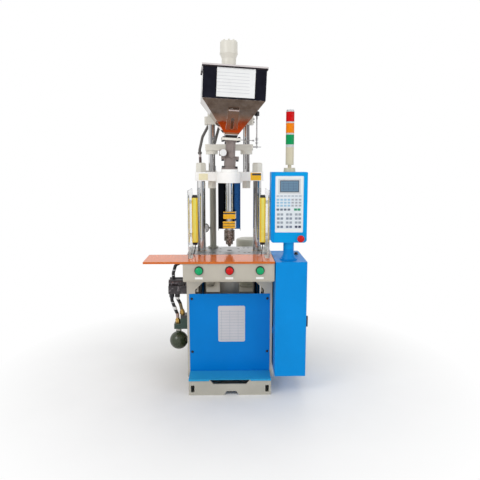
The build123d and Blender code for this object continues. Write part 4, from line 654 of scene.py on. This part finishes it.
def clamp_rules(s, colour, rough):
    """Dark bars across the amber plates and faint rules on the white one, with no lettering."""
    for bar in AMBER_BARS:
        colour = s.mix(s.inside(**bar), colour, DARK_STEEL)
    height = stack_height(s)
    rule = s.stripes(height, LABEL_PITCH, LABEL_RULE)
    ruled = s.times(s.above(height, LABEL_LOW), s.below(height, LABEL_HIGH))
    faint = s.times(s.times(rule, ruled), s.inside(**LABEL_FIELD))
    return s.mix(faint, colour, LABEL_INK), rough


dress(surface("bare plates on the clamp", rgb(255, 194, 0), 0.34, coat=0.1, grain="plastic",
              wear_and_sheen=rgb(250, 220, 150), extra=clamp_rules,
              areas=[area(rgb(242, 234, 196), 0.4, **YELLOW_PLATE), area(WHITE, 0.3, **HOPPER_PLATE)]),
      PLATES)

# Keys and screen, from the panel's lower left corner, with the glass sunk behind the key tops

PANEL_LEFT, KEY_TOP, PANEL_FOOT = low("control_panel")
KEY_RISE = 0.6            # less than the keys stand off the panel
RAISED = (-FAR, KEY_TOP + KEY_RISE)
SUNK = (KEY_TOP + KEY_RISE, FAR)
KEYS_X = (6, 132)
SOFT_KEYS_X = (6, 79)
PAD_KEYS_X = (79, 132)
START_KEYS_X = (90, 126)
STOP_KEYS_X = (97, 128)
FIELD_Z = (17, 187)
STATUS_KEYS_Z = (176, 182)
PAD_KEYS_Z = (124, 169)
START_KEYS_Z = (105, 121)
BOTTOM_KEYS_Z = (19, 37)
FUNCTION_ROWS = (
    ((80, 98), rgb(150, 160, 170)), ((60, 78), rgb(130, 142, 156)),
    ((40, 58), rgb(150, 160, 170)), (BOTTOM_KEYS_Z, rgb(110, 122, 140)),
)
SCREEN_X = (14, 124)
SCREEN_Z = (189, 263)
RIM_INSET = 8
GLASS_INSET = 12
PAGE_INSET = 18


def on_panel(x, z, inset=0):
    """The sides of a field on the panel, drawn in by the same amount all round."""
    return dict(x=(PANEL_LEFT + x[0] + inset, PANEL_LEFT + x[1] - inset),
                z=(PANEL_FOOT + z[0] + inset, PANEL_FOOT + z[1] - inset))


def keys(colour, x, z):
    return area(colour, 0.3, y=RAISED, **on_panel(x, z))


panel_areas = [
    area(rgb(222, 228, 234), 0.36, **on_panel(KEYS_X, FIELD_Z)),
    keys(rgb(150, 190, 216), SOFT_KEYS_X, PAD_KEYS_Z),
    keys(rgb(176, 180, 188), PAD_KEYS_X, PAD_KEYS_Z),
    keys(rgb(120, 136, 158), KEYS_X, STATUS_KEYS_Z),
    keys(rgb(96, 110, 126), SOFT_KEYS_X, START_KEYS_Z),
    keys(rgb(40, 150, 110), START_KEYS_X, START_KEYS_Z),
]
for row_z, row_colour in FUNCTION_ROWS:
    panel_areas.append(keys(row_colour, KEYS_X, row_z))
panel_areas += [
    keys(rgb(44, 54, 84), STOP_KEYS_X, BOTTOM_KEYS_Z),
    area(rgb(208, 212, 216), 0.3, **on_panel(SCREEN_X, SCREEN_Z)),
    area(rgb(70, 82, 96), 0.3, **on_panel(SCREEN_X, SCREEN_Z, RIM_INSET)),
    area(rgb(96, 130, 156), 0.12, y=SUNK, **on_panel(SCREEN_X, SCREEN_Z, GLASS_INSET)),
]
display_page = rules(rows=(7.6, 0.16), columns=(24.0, 0.05), ink=rgb(66, 92, 120),
                     y=SUNK, **on_panel(SCREEN_X, SCREEN_Z, PAGE_INSET))

dress(surface("keys and screen", WHITE, 0.34, coat=0.2, grain="plastic", areas=panel_areas,
              radius=0.0004, extra=display_page),
      "control_panel")

# Digits printed on the number pad, also from the panel's lower left corner

ONE_KEY = (85.0, 132.0)
ZERO_KEY = (100.0, 113.0)
KEY_PITCH_X = 18.0
KEY_PITCH_Z = 14.5
DIGIT_SIZE = 0.0072       # metres
DIGIT_THICK = 0.00012


def make_digits():
    """One thin mesh with the digits 7 8 9, 4 5 6, 1 2 3 and 0 on their keys."""
    face_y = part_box("control_panel")[0][1]
    spots = []
    for digit in range(1, 10):
        row, column = divmod(digit - 1, 3)
        spots.append((str(digit), ONE_KEY[0] + column * KEY_PITCH_X, ONE_KEY[1] + row * KEY_PITCH_Z))
    spots.append(("0", *ZERO_KEY))
    shape = bmesh.new()
    for text, x, z in spots:
        curve = bpy.data.curves.new("digit", "FONT")
        curve.body = text
        curve.size = DIGIT_SIZE
        curve.extrude = DIGIT_THICK / 2
        curve.align_x = "CENTER"
        curve.align_y = "CENTER"
        holder = bpy.data.objects.new("digit", curve)
        mesh = bpy.data.meshes.new_from_object(holder)
        mesh.transform(Matrix.Rotation(math.radians(90), 4, "X"))
        place = ((PANEL_LEFT + x) * MM, face_y - DIGIT_THICK / 2, (PANEL_FOOT + z) * MM)
        mesh.transform(Matrix.Translation(place))
        shape.from_mesh(mesh)
        bpy.data.objects.remove(holder)
        bpy.data.meshes.remove(mesh)
        bpy.data.curves.remove(curve)
    result = bpy.data.meshes.new("key_digits")
    shape.to_mesh(result)
    shape.free()
    digits = bpy.data.objects.new("key_digits", result)
    bpy.context.collection.objects.link(digits)
    ink = surface("digit ink", rgb(44, 48, 60), 0.5, grain="plastic", gloss=0.3, tint=0.2)
    result.materials.append(ink)
    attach(digits, "frame")


make_digits()

# Pump motor: painted, over a bare pump

PUMP = dict(z=over("pump_motor", -FAR, 217))

dress(surface("motor paint", rgb(184, 182, 166), 0.34, coat=0.3, wear_and_sheen=rgb(150, 150, 120),
              areas=[area(GREY, 0.5, 0.9, **PUMP)]),
      "pump_motor")

# Pressure gauge on its riser, in millimetres

POST_LEFT, POST_FRONT, POST_FOOT = low("gauge_post")
GAUGE_X = POST_LEFT + 26.0
GAUGE_Z = POST_FOOT + 114.0
DIAL_R = 22.8
DIAL_BACK_Y = POST_FRONT + 19.5
TICK_RING = (17.8, 21.2)
TICK_PITCH = 2 * math.pi / 24
TICK_SHARE = 0.22
NEEDLE_HALF = 1.1
NEEDLE_REACH = 16.0
CASE_R = 26.5
CASE_RIGHT_X = GAUGE_X + 30.5
CASE_GREY = rgb(70, 72, 74)


def dial(s, colour, rough):
    """A white gauge face with ticks and a needle, in a dark case."""
    place_x, place_y, place_z = s.split()
    x = s.minus(place_x, GAUGE_X * MM)
    z = s.minus(place_z, GAUGE_Z * MM)
    reach = s.length(x, z)
    face = s.times(s.below(reach, DIAL_R * MM), s.below(place_y, DIAL_BACK_Y * MM))
    ring = s.times(s.above(reach, TICK_RING[0] * MM), s.below(reach, TICK_RING[1] * MM))
    tick = s.stripes(s.calc("ARCTAN2", z, x), TICK_PITCH, TICK_SHARE)
    off_needle = s.calc("ABSOLUTE", s.plus(x, z))
    needle = s.times(s.below(off_needle, NEEDLE_HALF * MM), s.below(reach, NEEDLE_REACH * MM))
    mark = s.either(s.times(ring, tick), needle)
    case = s.times(s.below(reach, CASE_R * MM), s.below(place_x, CASE_RIGHT_X * MM))
    return s.mix(face, s.mix(case, colour, CASE_GREY), s.mix(mark, WHITE, BLACK)), rough


dress(surface("grey riser and gauge", rgb(158, 158, 146), 0.34, coat=0.2, extra=dial,
              wear_and_sheen=rgb(150, 150, 120)),
      "gauge_post")

# Valve bank over its green manifold and accumulator

ACCUMULATOR = dict(z=over("valve_manifold", -FAR, 103))
MANIFOLD = dict(z=over("valve_manifold", 103, 182))
MANIFOLD_RING = dict(z=over("valve_manifold", 107, 116))
COIL_ENDS = dict(x=(-FAR, low("valve_manifold")[X] + 49.0), z=over("valve_manifold", 356, FAR))
VALVE_BANK = dict(z=over("valve_manifold", 205, FAR))
OIL_BLACK = rgb(30, 25, 29)
OIL_GREY = rgb(62, 56, 60)
HIGHLIGHT_GREY = rgb(150, 144, 150)


def greasy(s, colour, rough):
    """Oil-dark valve bodies with dull painted highlights in patches, above the manifold."""
    highlight = s.patches(scale=48.0, start=0.55, stop=0.63, detail=3.0, rough=0.55)
    tone = s.mix(s.patches(scale=30.0, start=0.40, stop=0.60, detail=3.0), OIL_BLACK, OIL_GREY)
    tone = s.stain(tone, highlight, HIGHLIGHT_GREY, strength=0.55)
    return s.mix(s.inside(**VALVE_BANK), colour, tone), rough


dress(surface("valves and accumulator", rgb(56, 58, 60), 0.38, coat=0.15, grain="cast",
              wear_and_sheen=rgb(168, 164, 166), extra=greasy,
              areas=[area(rgb(52, 62, 42), 0.26, **ACCUMULATOR), area(rgb(40, 66, 56), 0.40, **MANIFOLD),
                     area(rgb(212, 206, 198), 0.35, **MANIFOLD_RING), area(BLACK, 0.4, **COIL_ENDS)]),
      "valve_manifold")

# Side hoses: the upper one, and the left and right one of the two lower ones

HOSES = "hydraulic_hoses"
UPPER_X = (-340, -240)
UPPER_Y = (-20, 20)
LEFT_X = (-340, -288)
RIGHT_X = (-300, -240)
LOWER_Y = (-80, -30)
LEFT_END_X = (-301, -270)
LEFT_NUT_X = (-305, -270)
RIGHT_END_X = (-283, -240)

hose_bands = [
    # printed marks, white sleeves and worn ends
    area(LIGHT_GREY, 0.5, x=UPPER_X, y=UPPER_Y, z=over(HOSES, 284, 289)),
    area(LIGHT_GREY, 0.5, x=UPPER_X, y=UPPER_Y, z=over(HOSES, 256, 259)),
    area(WHITE, 0.4, x=LEFT_X, y=LOWER_Y, z=over(HOSES, 76, 93)),
    area(LIGHT_GREY, 0.5, x=LEFT_X, y=LOWER_Y, z=over(HOSES, 114, 118)),
    area(rgb(176, 152, 146), 0.5, x=LEFT_END_X, y=LOWER_Y, z=over(HOSES, 28, 54)),
    area(WHITE, 0.4, x=RIGHT_X, y=LOWER_Y, z=over(HOSES, 134, 147)),
    area(rgb(118, 104, 78), 0.5, x=RIGHT_END_X, y=LOWER_Y, z=over(HOSES, 76, 112)),
    # brass and steel fittings
    area(BRASS, 0.30, 1.0, x=LEFT_NUT_X, y=LOWER_Y, z=over(HOSES, -4, 29)),
    area(BRASS, 0.30, 1.0, x=RIGHT_END_X, y=LOWER_Y, z=over(HOSES, 46, 77)),
    area(DARK_STEEL, 0.35, 1.0, x=(-340, -300), y=LOWER_Y, z=over(HOSES, 137, 168)),
    area(GREY, 0.35, 1.0, x=(-250, -200), y=UPPER_Y, z=over(HOSES, 315, 350)),
    area(DARK_STEEL, 0.35, 1.0, x=(-330, -296), y=UPPER_Y, z=over(HOSES, 208, 237)),
]
dress(surface("side hoses and fittings", rgb(28, 28, 30), 0.46, grain="rubber", areas=hose_bands,
              wear_and_sheen=rgb(80, 80, 84)),
      HOSES)

# Clamp hoses: worn lower ends under a pale mark, the block they stand on, and their fittings

WORN_ENDS = dict(z=over("clamp_hoses", -FAR, 109))
HOSE_MARK = dict(z=over("clamp_hoses", 109, 123))
HOSE_BLOCK = dict(y=(40, 90), z=over("clamp_hoses", -FAR, 39))
LOWER_FITTINGS = dict(z=over("clamp_hoses", 36, 66))
UPPER_FITTINGS = dict(x=(-20, 20), y=(-FAR, 92), z=over("clamp_hoses", 336, FAR))

dress(surface("clamp hoses", rgb(96, 92, 90), 0.50, grain="rubber", wear_and_sheen=rgb(170, 166, 160),
              areas=[area(rgb(84, 68, 66), 0.45, **WORN_ENDS),
                     area(rgb(206, 196, 196), 0.4, **HOSE_MARK),
                     area(CREAM, 0.35, **HOSE_BLOCK),
                     area(GREY, 0.3, 1.0, **LOWER_FITTINGS),
                     area(GREY, 0.3, 1.0, **UPPER_FITTINGS)]),
      "clamp_hoses")

# Switchgear in the cabinet: three rows of devices on a light plate, and the black gland on top

GEAR_LEFT = low("cabinet_electrics")[X]
DEVICES_X = (GEAR_LEFT + 11.0, GEAR_LEFT + 82.0)
DEVICE_ROWS = (
    # heights above the foot of the plate, and colour
    ((-FAR, 122), rgb(54, 58, 62)), ((172, 282), rgb(210, 212, 208)), ((342, 452), rgb(58, 74, 96)),
)
GLAND = dict(z=over("cabinet_electrics", 557, FAR))

gear_areas = [area(BLACK, 0.4, **GLAND)]
for heights, row_colour in DEVICE_ROWS:
    gear_areas.append(area(row_colour, 0.4, x=DEVICES_X, z=over("cabinet_electrics", *heights)))
dress(surface("switchgear", LIGHT_GREY, 0.42, grain="plastic", wear_and_sheen=rgb(226, 228, 230), areas=gear_areas),
      "cabinet_electrics")

# Floor and studio, in metres

FLOOR_HALF = 14.0
FLOOR_CELLS = 8
FLOOR_FADE = (0.42, 1.35)  # from the clamp axis, where the floor turns into the white background
FLOOR_ROUGH = 0.7
WORLD_LIGHT = 0.55        # the world as a light, while it is seen at full white


def make_floor():
    """A pale floor that fades to pure white away from the machine."""
    mesh = bpy.data.meshes.new("floor")
    shape = bmesh.new()
    bmesh.ops.create_grid(shape, x_segments=FLOOR_CELLS, y_segments=FLOOR_CELLS, size=FLOOR_HALF)
    shape.to_mesh(mesh)
    shape.free()
    floor = bpy.data.objects.new("floor", mesh)
    bpy.context.collection.objects.link(floor)
    s = Surface("pale floor")
    far = s.ramp(s.vector("LENGTH", s.place), *FLOOR_FADE)
    tone = s.patches(scale=3.0, start=0.3, stop=0.7, detail=3.0)
    s.feed(s.shader.inputs["Base Color"], s.mix(tone, rgb(240, 240, 240), rgb(246, 246, 246)))
    s.shader.inputs["Roughness"].default_value = FLOOR_ROUGH
    glow = s.add("ShaderNodeEmission")
    blend = s.add("ShaderNodeMixShader")
    s.feed(blend.inputs[0], s.times(far, s.seen()))
    s.feed(blend.inputs[1], s.shader.outputs[0])
    s.feed(blend.inputs[2], glow.outputs[0])
    s.feed(s.tree.nodes["Material Output"].inputs["Surface"], blend.outputs[0])
    mesh.materials.append(s.material)


def make_world():
    """A white world that lights the machine less than it shows."""
    world = bpy.data.worlds.new("studio")
    world.use_nodes = True
    bpy.context.scene.world = world
    w = Tree(world.node_tree)
    back = w.tree.nodes["Background"]
    back.inputs["Color"].default_value = (1, 1, 1, 1)
    w.feed(back.inputs["Strength"], w.ramp(w.seen(), 0.0, 1.0, WORLD_LIGHT, 1.0))


def soft_light(name, place, target, size, power, mirrored=True):
    """A square lamp that looks at its target; mirrored is whether polished metal shows it."""
    data = bpy.data.lights.new(name, "AREA")
    data.size = size
    data.energy = power
    lamp = bpy.data.objects.new(name, data)
    bpy.context.collection.objects.link(lamp)
    lamp.visible_glossy = mirrored
    lamp.location = place
    lamp.rotation_euler = (Vector(target) - Vector(place)).to_track_quat("-Z", "Y").to_euler()


make_floor()
make_world()
soft_light("key", place=(-2.4, -2.6, 3.0), target=(0, 0, 0.9), size=1.8, power=45)
soft_light("fill", place=(2.6, -2.2, 2.0), target=(0.1, 0, 0.8), size=2.0, power=21)
soft_light("front", place=(0.1, -3.4, 0.75), target=(0, 0, 0.7), size=0.8, power=12, mirrored=False)
soft_light("rim", place=(0.5, 2.6, 3.0), target=(0, 0, 0.9), size=1.6, power=28, mirrored=False)

# Camera, solved from the photograph's straight edges

EYE = (-0.0016, -2.736, 1.148)
PITCH_DOWN = 8.4
YAW_RIGHT = 1.26
LENS = 37.5
SENSOR_WIDTH = 36.0

camera_data = bpy.data.cameras.new("camera")
camera_data.lens = LENS
camera_data.sensor_width = SENSOR_WIDTH
camera = bpy.data.objects.new("camera", camera_data)
camera.location = EYE
camera.rotation_euler = (math.radians(90 - PITCH_DOWN), 0, math.radians(-YAW_RIGHT))
bpy.context.collection.objects.link(camera)
bpy.context.scene.camera = camera
bpy.context.scene.view_settings.view_transform = "Standard"
